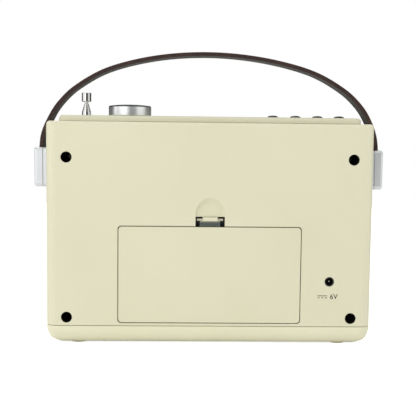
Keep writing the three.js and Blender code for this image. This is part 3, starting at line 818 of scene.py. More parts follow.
# %% Base tray
feet = [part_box(f"foot_{i}") for i in (1, 2, 3, 4)]
tray = shell_between("base_tray_moulding", (-BEYOND, -BEYOND, -BEYOND), (BEYOND, BEYOND, tray_high.z))
tray = chamfer_seam(tray, 2, tray_high.z)
for low, high in feet:
    radius = (high.x - low.x) / 2 + GAP
    drill(tray, radius, low.z - 5 * MM, high.z + GAP, axis_place((low, high), 2), "Z", steps=40)
finish_piece(tray, "case", base_abs, "case_plastic", "base_tray")

# %% Front shell
grille_low, grille_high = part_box("speaker_grille")
frame_low, frame_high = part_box("display_frame")
buttons = [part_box(f"button_{i}") for i in (1, 2, 3, 4)]
button_places = [axis_place(box, 2) for box in buttons]
knob_place = axis_place((knob_low, knob_high), 2)
SPEAKER_HOLE = 33 * MM
PILLAR_RADIUS = 5 * MM
BUSH_HOLE = 5 * MM
STEM_HOLE = 3 * MM
front_face = case_low.y
front_split = SPLIT_Y - GAP / 2
front = shell_between("front_case_shell", (-BEYOND, -BEYOND, front_low.z), (BEYOND, front_split, BEYOND))
front = chamfer_seam(front, 2, front_low.z)
front = chamfer_seam(front, 1, front_split)


def front_recess(low, high, depth, corner):
    """A sunk bed for a part of the front, one gap larger than the part all round."""
    return rounded_block("recess", (low.x - GAP, front_face - 5 * MM, low.z - GAP),
                         (high.x + GAP, front_face + depth, high.z + GAP), 1, corner)


carve(front, front_recess(grille_low, grille_high, 1.2 * MM, 10 * MM),
      front_recess(frame_low, frame_high, 1.5 * MM, 5 * MM),
      block("window", (57 * MM, THROUGH_FRONT[0], 107 * MM), (105 * MM, THROUGH_FRONT[1], 143 * MM)))
drill(front, SPEAKER_HOLE, *THROUGH_FRONT, axis_place(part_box("speaker_cone"), 1), steps=64)
for place in well_places:
    pillar = [(PILLAR_RADIUS, front_face + WALL - LAP), (PILLAR_RADIUS, well_floor - 1 * MM)]
    fuse(front, turned("pillar", pillar, place, "Y", 24))
for place in button_places:
    drill(front, STEM_HOLE, *THROUGH_ROOF, place, "Z", steps=20)
drill(front, BUSH_HOLE, *THROUGH_ROOF, knob_place, "Z", steps=32)
front.data.materials.append(cream_abs)
paint_faces(front, speaker_cloth, lambda face: front_face + 0.7 * MM < face.y < front_face + 1.5 * MM
            and grille_low.x < face.x < grille_high.x)
finish_piece(front, "case", None, "case_plastic", "front_shell")

# %% Top panel
panel_low, panel_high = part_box("top_panel")
PANEL_WALL = 2.2 * MM
panel = bevel_edges(block("control_panel", panel_low, panel_high), runs_along(2), 7 * MM, 10)
bevel_edges(panel, lies_at(2, panel_high.z), 2.8 * MM, 8)
inset = Vector((PANEL_WALL, PANEL_WALL, PANEL_WALL))
hollow_low = panel_low + inset
hollow_low.z = panel_low.z - 1 * MM
carve(panel, rounded_block("panel_hollow", hollow_low, panel_high - inset, 2, 4.8 * MM))
BUTTON_HOLE = 4.8 * MM
holes = [(BUTTON_HOLE, place) for place in button_places]
holes += [(BUSH_HOLE, knob_place), (ANTENNA_HOLE, antenna_place)]
for radius, place in holes:
    drill(panel, radius, THROUGH_ROOF[0], panel_high.z, place, "Z", lip=0.25 * MM, steps=40)
finish_piece(panel, "case", panel_abs, "case_plastic", "top_panel")

# %% [markdown]
# ## Battery door and latch
# The door is a flat moulding, 3 mm thick, with rounded corners and a broken edge all round. Its rim
# takes a dark olive, painted shade, so that the gap about the door reads as a dark line. Two
# tabs at its foot hook behind the shell, and ribs inside stiffen it. The latch is a stepped block: a
# raised pad for the fingertip with lower shoulders at its sides, and a stem that hooks the door.
# The leaf spring that pushes it up shows in the gap below the pad; its steel is darker, painted shade of the
# gap.

# %% Battery door
DOOR_THICKNESS = 3 * MM
RIB_XS = (-52 * MM, -26 * MM, 0, 26 * MM, 52 * MM)
RIB_HALF = 0.6 * MM
ROOT = 0.2 * MM
door_inner = back_face - DOOR_THICKNESS
root_y = door_inner + ROOT
door_corner = Vector((door_high.x, back_face, door_high.z))
door = rounded_block("battery_bay_door", (door_low.x, door_inner, door_bottom), door_corner, 1, DOOR_CORNER)
bevel_edges(door, lies_at(1, back_face), SEAM_CHAMFER, 2)
for x in HINGE_XS:
    fuse(door, block("tab", (x - HINGE_HALF, door_low.y, door_low.z), (x + HINGE_HALF, root_y, 20.4 * MM)))
for x in RIB_XS:
    rib_low = (x - RIB_HALF, door_inner - 1.6 * MM, BAY_BOTTOM + 4 * MM)
    fuse(door, block("rib", rib_low, (x + RIB_HALF, root_y, BAY_TOP - 6 * MM)))
door.data.materials.append(cream_abs)
rim_low, rim_high = door_inner + 0.1 * MM, back_face - SEAM_CHAMFER - 0.1 * MM
# Painted shade: the door's rim takes the dark olive of the gap round it.
paint_faces(door, door_gap_shade, lambda face: rim_low < face.y < rim_high)
finish_piece(door, "battery_door", None, "case_plastic", "battery_door")

# %% Latch and its leaf spring
latch_low, latch_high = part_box("battery_latch")
NIB_HALF = 5.9 * MM
STEM_HALF = 8 * MM
SHOULDER_TOP, SHOULDER_FACE = 101.4 * MM, 40.3 * MM
PAD_BOTTOM = 99.4 * MM
latch = block("door_latch", (latch_low.x, latch_low.y, PAD_BOTTOM),
              (latch_high.x, SHOULDER_FACE, SHOULDER_TOP))
bevel_edges(latch, lies_at(1, SHOULDER_FACE), 0.5 * MM, 3)
pad_face = latch_high.y + 0.3 * MM
pad = block("pad", (-NIB_HALF, 39.6 * MM, PAD_BOTTOM + 0.1 * MM), (NIB_HALF, pad_face, latch_high.z))
bevel_edges(pad, lies_at(1, pad_face), 0.4 * MM, 3)
stem = block("stem", (-STEM_HALF, 37 * MM, latch_low.z), (STEM_HALF, 39 * MM, PAD_BOTTOM + LAP))
fuse(latch, pad, stem)
finish_piece(latch, "battery_latch", cream_abs, "case_plastic", "battery_latch")

LEAF_HALF = 8.2 * MM
LEAF_BENDS = ((0.8 * MM, 0.2 * MM), (0.8 * MM, 0.6 * MM), (0.6 * MM, 1.0 * MM))
leaf = block("latch_leaf_spring", (-LEAF_HALF, 39.7 * MM, 96.6 * MM), (LEAF_HALF, 40.2 * MM, 98.4 * MM))
for drop, reach in LEAF_BENDS:
    lowest = min(point.co.z for point in leaf.data.vertices)
    pick_faces(leaf, lambda centre, normal: abs(centre.z - lowest) < 0.3 * MM and normal.z < -0.5)
    extrude((0, reach, -drop))
    bpy.ops.object.mode_set(mode="OBJECT")
bevel_edges(leaf, lambda a, b: abs(a.x - b.x) < TOUCH and abs(a.x) > LEAF_HALF - TOUCH, 0.18 * MM, 2)
# Painted shade: the leaf's steel is darker than the plain spring steel, for the shade in the gap below the
# pad.
finish_piece(leaf, "battery_latch", leaf_shade_steel, "zinc_steel")

# %% [markdown]
# ## The strap
# The strap is a flat band of leather on a felt lining, made straight on the bench and then bent into
# its arch. The band starts as a block: its long edges are rounded, a groove is pressed along both
# sides where leather and lining meet, and it is cut across into short lengths. Each point then moves
# to the same distance along the arch, which is a smooth curve through a few given points.

# %% The arch
STRAP_POINTS = [(138.8, 128), (138.8, 142), (138.75, 156), (137.1, 168), (132, 180), (124, 192.7),
                (109.3, 206.6), (82.7, 221.2), (43, 231), (0, 234), (-43, 230.3), (-83, 220.5),
                (-110, 206.2), (-124.9, 192.6), (-132.8, 180), (-137.2, 168), (-138.7, 156), (-138.8, 142),
                (-138.8, 128)]
strap_route = [Vector((x, z)) * MM for x, z in STRAP_POINTS]
FINE_STEPS = 24


def along_smooth_curve(points, steps):
    """Points on a Catmull-Rom curve, which passes through every one of the points given."""
    made = []
    for i in range(len(points) - 1):
        before = points[max(i - 1, 0)]
        after = points[min(i + 2, len(points) - 1)]
        start, end = points[i], points[i + 1]
        leave, arrive = (end - before) / 2, (after - start) / 2
        for step in range(steps):
            t = step / steps
            made.append(start * (2 * t**3 - 3 * t**2 + 1) + leave * (t**3 - 2 * t**2 + t)
                        + end * (3 * t**2 - 2 * t**3) + arrive * (t**3 - t**2))
    return made + [points[-1]]


arch = along_smooth_curve(strap_route, FINE_STEPS)
arch_reach = [0.0]
for start, end in zip(arch, arch[1:]):
    arch_reach.append(arch_reach[-1] + (end - start).length)
strap_length = arch_reach[-1]
print("the strap is", round(strap_length / MM, 1), "mm long")


def bend_to_arch(obj):
    """Moves a straight piece onto the arch: x is the way along it, z the height above its middle.

    The move swaps two axes, which turns the faces inside out, so they are flipped back."""
    spot = 0
    for point in sorted(obj.data.vertices, key=lambda vertex: vertex.co.x):
        while spot < len(arch) - 2 and arch_reach[spot + 1] < point.co.x:
            spot += 1
        part = (point.co.x - arch_reach[spot]) / (arch_reach[spot + 1] - arch_reach[spot])
        centre = arch[spot].lerp(arch[spot + 1], part)
        ahead = min(spot + 2, len(arch) - 1)
        along = (arch[ahead] - arch[max(spot - 1, 0)]).normalized()
        outward = Vector((along.y, -along.x))
        place = centre + outward * point.co.z
        point.co = (place.x, point.co.y, place.y)
    only(obj)
    bpy.ops.object.mode_set(mode="EDIT")
    bpy.ops.mesh.select_all(action="SELECT")
    bpy.ops.mesh.flip_normals()
    bpy.ops.object.mode_set(mode="OBJECT")
    return obj


# %% The band
STRAP_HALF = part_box("carry_strap")[1].y
STRAP_THICK = 3.2 * MM
STRAP_CUTS = 150
band = block("leather_carry_strap", (0, -STRAP_HALF, -STRAP_THICK / 2),
             (strap_length, STRAP_HALF, STRAP_THICK / 2))
bevel_edges(band, runs_along(0), 0.75 * MM, 4)
pick_faces(band, lambda centre, normal: abs(normal.y) > 0.99)
bpy.ops.mesh.inset(thickness=0.5 * MM)
bpy.ops.transform.resize(value=(1, 1 - 0.45 * MM / STRAP_HALF, 1), center_override=(0, 0, 0))
bpy.ops.object.mode_set(mode="OBJECT")
pick_edges(band, lambda a, b: abs(a.x - b.x) > strap_length / 2)
bpy.ops.mesh.subdivide(number_cuts=STRAP_CUTS)
bpy.ops.object.mode_set(mode="OBJECT")
bend_to_arch(band)
for material in (brown_leather, painted_edge, felt_lining):
    band.data.materials.append(material)
UNDER_THE_ARCH = Vector((0, 0, 130 * MM))
for face in band.data.polygons:
    inward = UNDER_THE_ARCH - face.center
    inward.y = 0
    if abs(face.normal.y) > 0.6:
        face.material_index = 1
    elif face.normal.dot(inward) > 0:
        face.material_index = 2
finish_piece(band, "handle", None, "leather", "carry_strap", angle=50)

# %% [markdown]
# ### Stitching
# Linen thread runs along both edges of the strap, about 3.6 mm to a stitch. One stitch is modelled as
# a short round bar with its ends pushed down into the leather. An Array repeats it along the strap,
# a second Array makes the other row, and the rows are bent to the same arch as the band.

# %% Stitches
STITCH_PITCH = 3.6 * MM
STITCH_LENGTH = 2.7 * MM
THREAD_RADIUS = 0.36 * MM
ROW_FROM_MIDDLE = 7.1 * MM
STITCH_MARGIN = 33 * MM
stitch_count = int((strap_length - 2 * STITCH_MARGIN) / STITCH_PITCH)
stitches = fresh("strap_stitching", bpy.ops.mesh.primitive_cylinder_add, vertices=6, radius=THREAD_RADIUS,
                 depth=STITCH_LENGTH * 0.6, rotation=LYING["X"])
apply_place(stitches)
for end in (-1, 1):
    pick_faces(stitches, lambda centre, normal: normal.x * end > 0.9)
    extrude((end * STITCH_LENGTH * 0.2, 0, -THREAD_RADIUS))
    bpy.ops.object.mode_set(mode="OBJECT")
stitches.location = (STITCH_MARGIN, -ROW_FROM_MIDDLE, STRAP_THICK / 2 - THREAD_RADIUS * 0.6)
apply_place(stitches)
repeat(stitches, stitch_count, (STITCH_PITCH, 0, 0))
repeat(stitches, 2, (0, 2 * ROW_FROM_MIDDLE, 0))
bend_to_arch(stitches)
linen = grained("waxed_linen_thread", "#5A4A48", "#493B3A", 0.3, 0.6, 0.4)
finish_piece(stitches, "handle", linen, "leather")

# %% [markdown]
# ## Brackets
# Each bracket is a zinc die casting in two halves. The inner half is screwed to the case, and the
# cover turns on it with the strap. Cast corners are round, and brushing has rounded the outer rim.

# %% Brackets and pivot screws
CHANNEL_HALF = STRAP_HALF + 0.25 * MM
CHANNEL_FACE = 140.7 * MM
BORE_RADIUS, SINK_RADIUS = 1.8 * MM, 3.8 * MM
SINK_FLOOR = 141.9 * MM
pivot_height = box_middle(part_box("pivot_screw_right")).z
pivot = Vector((0, 0, pivot_height))


def bracket_half(name, node, side, rim, rim_steps):
    """A rounded block with its four corners rounded front to back, and its outer rim softened."""
    low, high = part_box(node)
    made = bevel_edges(block(name, low, high), runs_along(0), 3 * MM, 8)
    return bevel_edges(made, lies_at(0, high.x if side > 0 else low.x), rim, rim_steps)


def side_drill(obj, side, radius, near, far, steps):
    """Cuts a round hole about the pivot, between two distances from the radio's middle."""
    low, high = sorted((side * near, side * far))
    return drill(obj, radius, low, high, pivot, "X", steps=steps)


for word, side in (("left", -1), ("right", 1)):
    mount = bracket_half(f"bracket_mount_{word}", f"bracket_base_{word}", side, 0.35 * MM, 2)
    side_drill(mount, side, BORE_RADIUS, *THROUGH_SIDE, 24)
    finish_piece(mount, "case", satin_zinc, "satin_aluminium", f"bracket_base_{word}")

    cover = bracket_half(f"bracket_cap_{word}", f"bracket_cover_{word}", side, 2 * MM, 6)
    low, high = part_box(f"bracket_cover_{word}")
    inner_x = min(abs(low.x), abs(high.x)) - 1 * MM
    near, far = sorted((side * inner_x, side * CHANNEL_FACE))
    carve(cover, block("channel", (near, -CHANNEL_HALF, low.z + 3.4 * MM),
                       (far, CHANNEL_HALF, high.z + 1 * MM)))
    side_drill(cover, side, BORE_RADIUS, *THROUGH_SIDE, 24)
    side_drill(cover, side, SINK_RADIUS, SINK_FLOOR, THROUGH_SIDE[1], 40)
    finish_piece(cover, "handle", satin_zinc, "satin_aluminium", f"bracket_cover_{word}")

# %% Pivot screws
SCREW_SLOT = (0.4 * MM, 2.1 * MM)
PIVOT_PROFILE = in_mm([(1.45, 121), (1.45, 142.1), (3.1, 142.1), (3.4, 142.3), (3.4, 142.9), (2.9, 143.4),
                       (1.6, 143.7)])


def cross_slot(screw, centre, axis, depth):
    """Cuts a cross for the screwdriver into a screw's head: two slots at right angles."""
    for half_sizes in (SCREW_SLOT, SCREW_SLOT[::-1]):
        half = list(half_sizes)
        half.insert(axis, depth)
        carve(screw, block("slot", centre - Vector(half), centre + Vector(half)))


for word, side in (("left", -1), ("right", 1)):
    screw = turned(f"pivot_bolt_{word}", PIVOT_PROFILE, pivot, "X", 32)
    cross_slot(screw, Vector((143.9 * MM, 0, pivot_height)), 0, 1 * MM)
    if side < 0:
        only(screw)
        bpy.ops.transform.rotate(value=math.pi, orient_axis="Z", center_override=(0, 0, 0))
        apply_place(screw)
    finish_piece(screw, "case", zinc_steel, "zinc_steel", f"pivot_screw_{word}")

# %% [markdown]
# ## Volume knob
# The knob is turned from aluminium bar: a domed crown, a polished bevel round the rim that reads as
# a dark line, and a straight side that stands just clear of the panel. The bevel's faces take a
# darker aluminium, a painted dark reflection. It is a lathe job here too.

# %% Volume knob
BORE = 3.15 * MM
RIM_ROUND = 1.1 * MM
CROWN_STEPS = 8
knob_radius = (knob_high.x - knob_low.x) / 2
knob_foot = knob_low.z
rim_start = knob_high.z - 2.2 * MM
crown_foot = rim_start + RIM_ROUND
crown_radius = knob_radius - RIM_ROUND
crown_rise = knob_high.z - crown_foot
knob_profile = [(BORE, knob_foot + 5.8 * MM), (BORE, knob_foot), (knob_radius - 0.6 * MM, knob_foot),
                (knob_radius - 0.15 * MM, knob_foot + 0.15 * MM), (knob_radius, knob_foot + 0.6 * MM)]
knob_profile += arc((crown_radius, rim_start), (RIM_ROUND, RIM_ROUND), 0, 90, 6)
for step in range(1, CROWN_STEPS + 1):
    left = 1 - step / CROWN_STEPS
    knob_profile.append((crown_radius * left, crown_foot + crown_rise * (1 - left ** 2)))
knob = turned("spun_volume_knob", knob_profile, knob_place, "Z", 96)
knob.data.materials.append(spun_aluminium)
# Painted reflection: the rim bevel's faces take the darker aluminium.
paint_faces(knob, rim_dark_reflection, lambda face: rim_start + 0.1 * MM < face.z < crown_foot + 0.45 * MM)
finish_piece(knob, "volume_knob", None, "satin_aluminium", "volume_knob", angle=40)

# %% [markdown]
# ## Push buttons
# Four small domed keys in polished black nickel. A shoulder under the panel keeps each from falling
# out, and its stem stands over a switch. The dome is a shallow curve with a rolled rim.

# %% Push buttons
button_profile = in_mm([(2.5, 172.2), (2.5, 178.7), (5.8, 178.7), (5.8, 179.7), (4.4, 179.7), (4.4, 183.2),
                        (4.3, 183.5), *arc((0, 183.7), (4.15, 1.1), 0, 72, 4), (0, 184.8)])
for number, place in enumerate(button_places, 1):
    key = turned(f"function_key_{number}", button_profile, place, "Z", 40)
    finish_piece(key, f"button_{number}", dark_nickel, "dark_metal", f"button_{number}", angle=50)

# %% [markdown]
# ## Telescopic antenna
# Five chromed brass tubes and a rod slide in one another. Each tube's mouth is rolled inwards, which
# leaves a small bright shoulder at every step, and the rod ends in a turned cap.

# %% Antenna tubes, rod and cap
TUBE_WALL = 0.28 * MM
for number in range(1, 6):
    low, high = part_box(f"antenna_tube_{number}")
    radius = (high.x - low.x) / 2
    inner = radius - TUBE_WALL
    outline = [(inner, low.z), (radius, low.z), (radius, high.z - 0.55 * MM),
               (radius - 0.06 * MM, high.z - 0.25 * MM), (radius - 0.16 * MM, high.z), (inner, high.z)]
    pipe = turned(f"antenna_pipe_{number}", outline, antenna_place, "Z", 48, tube=True)
    owner = "case" if number == 1 else f"antenna_{number}"
    finish_piece(pipe, owner, chrome_plate, "chrome", f"antenna_tube_{number}", angle=50)

low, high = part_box("antenna_rod")
rod_radius = (high.x - low.x) / 2
mast = turned("antenna_mast_rod", [(rod_radius, low.z), (rod_radius, high.z)], antenna_place, "Z", 32)
bevel_edges(mast, lies_at(2, low.z), 0.2 * MM, 2)
finish_piece(mast, "antenna_mast", chrome_plate, "chrome", "antenna_rod")
low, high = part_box("antenna_cap")
cap_radius = (high.x - low.x) / 2
cap_bore = rod_radius + 0.15 * MM
FOOT_ROUND, TOP_ROUND = 0.5 * MM, 0.6 * MM
cap_profile = [(cap_bore, low.z + 1 * MM), (cap_bore, low.z)]
cap_profile += arc((cap_radius - FOOT_ROUND, low.z + FOOT_ROUND), (FOOT_ROUND, FOOT_ROUND), -90, 0, 4)
cap_profile += arc((cap_radius - TOP_ROUND, high.z - TOP_ROUND), (TOP_ROUND, TOP_ROUND), 0, 90, 4)
cap = turned("antenna_end_cap", cap_profile, antenna_place, "Z", 64)
finish_piece(cap, "antenna_mast", chrome_plate, "chrome", "antenna_cap", angle=50)

# %% [markdown]
# ## Power inlet, screws and marking
# The inlet is a black moulded barrel with a nickel pin in its middle. Beside it is a pad-printed
# voltage mark, the plain kind that any 6 V inlet carries, with the sign for direct current.

# %% Power inlet
BARREL_SEAT, BARREL_FOOT = 3.6 * MM, 31.1 * MM
barrel_outline = in_mm([(2.75, 31.2), (3.68, 31.2), (3.68, 43.3), (3.5, 43.5), (3.0, 43.5), (2.75, 43.2)])
barrel = turned("power_inlet", barrel_outline, jack_place, "Y", 48, tube=True)
housing = rounded_block("inlet_housing", jack_low, (jack_high.x, 41 * MM, jack_high.z), 1, 0.8 * MM)
fuse(barrel, drill(housing, BARREL_SEAT, BARREL_FOOT, back_face, jack_place))
finish_piece(barrel, "case", black_abs, "black_plastic", "dc_jack")
pin_low, pin_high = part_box("dc_jack_pin")
PIN_RADIUS = 0.9 * MM
pin_profile = [(PIN_RADIUS, pin_low.y), (PIN_RADIUS, pin_high.y - 0.5 * MM),
               (0.8 * PIN_RADIUS, pin_high.y - 0.15 * MM), (0.4 * PIN_RADIUS, pin_high.y), (0, pin_high.y)]
pin = turned("inlet_pin", pin_profile, jack_place, "Y", 24)
finish_piece(pin, "case", zinc_steel, "chrome", "dc_jack_pin", angle=50)

# %% Case screws
SCREW_PROFILE = in_mm([(1.5, -3), (1.5, 20.2), (3.4, 20.2), (3.6, 20.4), (3.6, 21.6), (3.1, 22.3),
                       (2.2, 22.7), (1.2, 22.8)])
for number, place in enumerate(well_places, 1):
    screw = turned(f"case_bolt_{number}", SCREW_PROFILE, place, "Y", 32)
    cross_slot(screw, place + Vector((0, screw_head, 0)), 1, 1.4 * MM)
    finish_piece(screw, "case", dark_nickel, "black_plastic", f"case_screw_{number}")

# %% [markdown]
# The mark is text turned into a mesh, with a bar over three dashes, the sign for direct current, as
# plain blocks. It is a film of ink 0.02 mm thick, standing on the shell's face.

# %% Voltage mark
INK = 0.02 * MM
TEXT_SIZE = 5.6 * MM
MARK_HEIGHT = 39.7 * MM
mark = fresh("voltage_mark", bpy.ops.object.text_add)
mark.data.body = "6V"
mark.data.size = TEXT_SIZE
mark.data.align_x = "LEFT"
mark.data.align_y = "CENTER"
mark.data.extrude = INK / 2
mark.data.offset = 0.06 * MM
mark.data.resolution_u = 4
bpy.ops.object.convert(target="MESH")
mark = bpy.context.active_object
mark.rotation_euler = (math.pi / 2, 0, math.pi)
mark.location = (jack_place.x - 0.6 * MM, back_face + INK, MARK_HEIGHT)
apply_place(mark)
SIGN_LEFT = jack_place.x + 9.2 * MM
SIGN_WIDTH, SIGN_RISE, SIGN_STROKE = 7.6 * MM, 0.8 * MM, 0.54 * MM
DASH, DASH_PITCH = 1.8 * MM, 2.9 * MM
bars = [(0, SIGN_WIDTH, SIGN_RISE)]
bars += [(start, start + DASH, -SIGN_RISE) for start in (0, DASH_PITCH, 2 * DASH_PITCH)]
strokes = []
for start, end, rise in bars:
    low = (SIGN_LEFT - end, back_face + INK / 2, MARK_HEIGHT + rise - SIGN_STROKE / 2)
    high = (SIGN_LEFT - start, back_face + 1.5 * INK, MARK_HEIGHT + rise + SIGN_STROKE / 2)
    strokes.append(block("stroke", low, high))
finish_piece(join([mark, *strokes]), "case", marking_ink, "grey_plastic")

# %% [markdown]
# ## Speaker grille
# The grille is steel sheet, punched with round holes and painted. One square tile with a hole is
# modelled: a ring inside a square rim. Two Arrays repeat it and merge the edges, and Solidify gives
# it its thickness. A rolled margin frames the holes and stands a hair proud of them.

# %% One tile
SHEET = 0.6 * MM
HOLE_RADIUS = 1.15 * MM
HOLE_SIDES = 12
MARGIN = 7 * MM
TILE_AIM = 3.6 * MM
field_low = grille_low + Vector((MARGIN, 0.1 * MM, MARGIN))
field_high = grille_high - Vector((MARGIN, 0.1 * MM, MARGIN))
field = field_high - field_low
across, up = round(field.x / TILE_AIM), round(field.z / TILE_AIM)
tile_size = Vector((field.x / across, 0, field.z / up))
tile_middle = Vector((field_low.x + tile_size.x / 2, field_low.y, field_low.z + tile_size.z / 2))
punched = fresh("punched_speaker_grille", bpy.ops.mesh.primitive_plane_add, size=1, location=tile_middle,
                rotation=(math.pi / 2, 0, 0))
punched.scale = (tile_size.x, tile_size.z, 1)
apply_place(punched)
bpy.ops.object.mode_set(mode="EDIT")
bpy.ops.mesh.select_all(action="SELECT")
bpy.ops.mesh.subdivide(number_cuts=HOLE_SIDES // 4 - 1)
bpy.ops.mesh.delete(type="ONLY_FACE")
bpy.ops.object.mode_set(mode="OBJECT")


def inside_the_rim(point):
    away = point - tile_middle
    return abs(away.x) < 0.49 * tile_size.x and abs(away.z) < 0.49 * tile_size.z


pick_edges(punched, lambda a, b: inside_the_rim((a + b) / 2))
bpy.ops.mesh.delete(type="EDGE")
bpy.ops.mesh.select_all(action="SELECT")
bpy.ops.mesh.extrude_edges_move(TRANSFORM_OT_translate={"value": (0, 0, 0)})
bpy.ops.transform.resize(value=(0.6, 1, 0.6), center_override=tile_middle)
bpy.ops.transform.tosphere(value=1, center_override=tile_middle)
bpy.ops.object.mode_set(mode="OBJECT")
ring_radius = min((point.co - tile_middle).length for point in punched.data.vertices)
bpy.ops.object.mode_set(mode="EDIT")
bpy.ops.transform.resize(value=[HOLE_RADIUS / ring_radius] * 3, center_override=tile_middle)
bpy.ops.mesh.select_all(action="SELECT")
bpy.ops.mesh.normals_make_consistent(inside=False)
bpy.ops.object.mode_set(mode="OBJECT")
if punched.data.polygons[0].normal.y > 0:
    punched.data.flip_normals()
print("one tile has", len(punched.data.polygons), "faces; the sheet has", across, "by", up, "holes")

# %% The punched sheet in its margin
for count, step in ((across, (tile_size.x, 0, 0)), (up, (0, 0, tile_size.z))):
    repeat(punched, count, step, use_merge_vertices=True, merge_threshold=0.01 * MM)
modify(punched, "SOLIDIFY", thickness=SHEET, offset=-1)
margin = rounded_block("margin", grille_low, grille_high, 1, 10 * MM, edge=0.3 * MM)
lap = Vector((0.3 * MM, -1, 0.3 * MM))
carve(margin, block("field", field_low + lap, field_high - lap))
finish_piece(join([punched, margin]), "case", grille_paint, "grille_metal", "speaker_grille", angle=30)

# %% [markdown]
# ## Display
# A chromed bezel holds a smoked acrylic window. Behind it stands a liquid crystal panel with the
# time in seven-segment numbers. Each segment is a short bar with its corners cut off, set in place by
# the letters a to g that display makers use, from the top bar clockwise, with g in the middle.

# %% Bezel and window
BEZEL_WIDTH = 3.2 * MM
bezel = rounded_block("display_bezel", frame_low, frame_high, 1, 5 * MM, edge=0.35 * MM)
opening = rounded_block("opening", (frame_low.x + BEZEL_WIDTH, THROUGH_FRONT[0], frame_low.z + BEZEL_WIDTH),
                        (frame_high.x - BEZEL_WIDTH, THROUGH_FRONT[1], frame_high.z - BEZEL_WIDTH), 1,
                        2.8 * MM)
carve(bezel, opening)
bezel_middle = box_middle((frame_low, frame_high))
opening_half = frame_high - bezel_middle - Vector([BEZEL_WIDTH - 0.1 * MM] * 3)


def on_the_inner_rim(point):
    away = point - bezel_middle
    return point.y < frame_low.y + TOUCH and abs(away.x) < opening_half.x and abs(away.z) < opening_half.z


bevel_edges(bezel, lambda a, b: on_the_inner_rim(a) and on_the_inner_rim(b), 0.6 * MM, 3)
finish_piece(bezel, "case", chrome_plate, "chrome", "display_frame", angle=40)
lens_low, lens_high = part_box("display_lens")
lens = rounded_block("display_window", lens_low, lens_high, 1, 2 * MM, edge=0.15 * MM)
finish_piece(lens, "case", display_acrylic, "display_glass", "display_lens")

# %% Liquid crystal panel
module_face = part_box("display_module")[0].y
PANEL_FRONT = module_face - 0.6 * MM
screen = rounded_block("crystal_panel", (58.5 * MM, PANEL_FRONT, 109 * MM),
                       (103.5 * MM, module_face, 141 * MM), 1, 0.8 * MM, edge=0.15 * MM)
finish_piece(screen, "case", screen_panel, "display_glass")

# %% Digits
DIGIT_WIDTH, DIGIT_HEIGHT, STROKE = 6.4 * MM, 13 * MM, 1.4 * MM
DIGIT_FOOT = 118.5 * MM
DIGITS = (("1", 61.5 * MM), ("2", 70.5 * MM), ("3", 84.5 * MM), ("0", 93.5 * MM))
COLON_SPAN, COLON_HEIGHTS = (80.7 * MM, 82.1 * MM), (122 * MM, 128 * MM)
SEGMENTS = {"a": (0, 2, 1, 2), "b": (1, 1, 1, 2), "c": (1, 0, 1, 1), "d": (0, 0, 1, 0),
            "e": (0, 0, 0, 1), "f": (0, 1, 0, 2), "g": (0, 1, 1, 1)}
LIT = {"0": "abcdef", "1": "bc", "2": "abdeg", "3": "abcdg"}
FILM = 0.08 * MM


def crystal_bar(x, z):
    """One bar of the display between two spans, with its corners cut off."""
    made = block("bar", (x[0], PANEL_FRONT - FILM, z[0]), (x[1], PANEL_FRONT + FILM, z[1]))
    return bevel_edges(made, runs_along(1), 0.55 * MM, 1)


def segment(left, columns, rows):
    """A bar between two corners of a digit: shortened along its length, a stroke wide across it."""
    level = columns[0] != columns[1]
    room_x, room_z = (-0.35 * STROKE, STROKE / 2) if level else (STROKE / 2, -0.35 * STROKE)
    start_x, end_x = (left + column * DIGIT_WIDTH for column in columns)
    start_z, end_z = (DIGIT_FOOT + row * DIGIT_HEIGHT / 2 for row in rows)
    return crystal_bar((start_x - room_x, end_x + room_x), (start_z - room_z, end_z + room_z))


bars = []
for number, left in DIGITS:
    for letter in LIT[number]:
        x0, z0, x1, z1 = SEGMENTS[letter]
        bars.append(segment(left, (x0, x1), (z0, z1)))
for height in COLON_HEIGHTS:
    bars.append(crystal_bar(COLON_SPAN, (height - STROKE / 2, height + STROKE / 2)))
digits = join(bars)
digits.name = digits.data.name = "display_digits"
finish_piece(digits, "case", screen_digit, "display_glass")

# %% [markdown]
# ## Feet and battery springs
# The feet are moulded rubber buttons with a rounded rim and a small cup underneath, which grips. Each
# battery spring is one length of steel wire wound on a cone: the widest turn sits on the contact
# plate and the narrowest one meets the cell. The wire is a round bevel swept along the winding.

# %% Rubber feet
for number, (low, high) in enumerate(feet, 1):
    r = (high.x - low.x) / 2
    foot_profile = [(0.4 * r, 0.5 * MM), (0.5 * r, 0), (r - 0.7 * MM, 0), (r - 0.25 * MM, 0.15 * MM),
                    (r, 0.6 * MM), (r, high.z)]
    foot = turned(f"rubber_foot_{number}", foot_profile, axis_place((low, high), 2), "Z", 40)
    finish_piece(foot, "case", pale_rubber, "rubber", f"foot_{number}", angle=50)

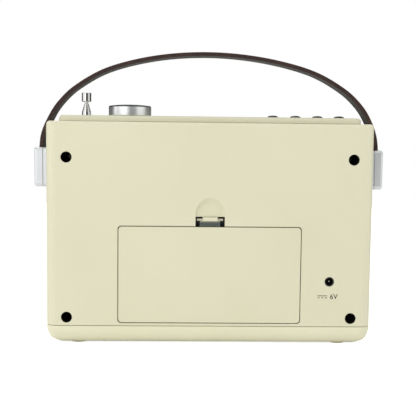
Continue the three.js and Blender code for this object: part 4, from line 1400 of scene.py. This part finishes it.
# %% Battery springs
WIRE = 0.45 * MM
TURNS = 5
TURN_STEPS = 20
for row in ("lower", "upper"):
    low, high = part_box(f"battery_spring_{row}")
    middle = box_middle((low, high))
    wide = (high.z - low.z) / 2 - WIRE
    narrow = 0.62 * wide
    towards = -1 if middle.x > 0 else 1
    plate_side = high.x - WIRE if middle.x > 0 else low.x + WIRE
    rise = high.x - low.x - 2 * WIRE
    wire_curve = bpy.data.curves.new(f"battery_coil_{row}", "CURVE")
    wire_curve.dimensions = "3D"
    wire_curve.bevel_depth = WIRE
    wire_curve.bevel_resolution = 3
    wire_curve.use_fill_caps = True
    winding = wire_curve.splines.new("POLY")
    steps = TURNS * TURN_STEPS
    winding.points.add(steps)
    for i, point in enumerate(winding.points):
        part = i / steps
        angle = 2 * math.pi * TURNS * part
        r = wide + (narrow - wide) * part
        x = plate_side + towards * rise * part
        point.co = (x, middle.y + r * math.cos(angle), middle.z + r * math.sin(angle), 1)
    coil = bpy.data.objects.new(f"battery_coil_{row}", wire_curve)
    bpy.context.scene.collection.objects.link(coil)
    only(coil)
    bpy.ops.object.convert(target="MESH")
    coil = bpy.context.active_object
    finish_piece(coil, "case", spring_steel, "zinc_steel", f"battery_spring_{row}", angle=60)

# %% [markdown]
# ## Finishes for the inner parts
# The loudspeaker, the boards and the contacts are right as the frame brings them. Each keeps its own
# mesh and gets a real finish in its material slot.

# %% Inner parts
speaker_screws = [f"speaker_screw_{i}" for i in (1, 2, 3, 4)]
switches = [f"tact_switch_{i}" for i in (1, 2, 3, 4)]
inner_finishes = {
    zinc_steel: ["speaker_basket", "volume_encoder", "encoder_shaft", *speaker_screws],
    spring_steel: ["contact_bridge", "contact_plate_lower", "contact_plate_upper"],
    cone_paper: ["speaker_cone"],
    ferrite: ["speaker_magnet"],
    board_laminate: ["main_board", "control_board"],
    black_abs: ["display_module", *switches],
    grey_nylon: ["antenna_clamp"],
}
for material, nodes in inner_finishes.items():
    for node in nodes:
        for material_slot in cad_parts[node].material_slots:
            material_slot.material = material
print("inner parts finished:", sum(len(nodes) for nodes in inner_finishes.values()))
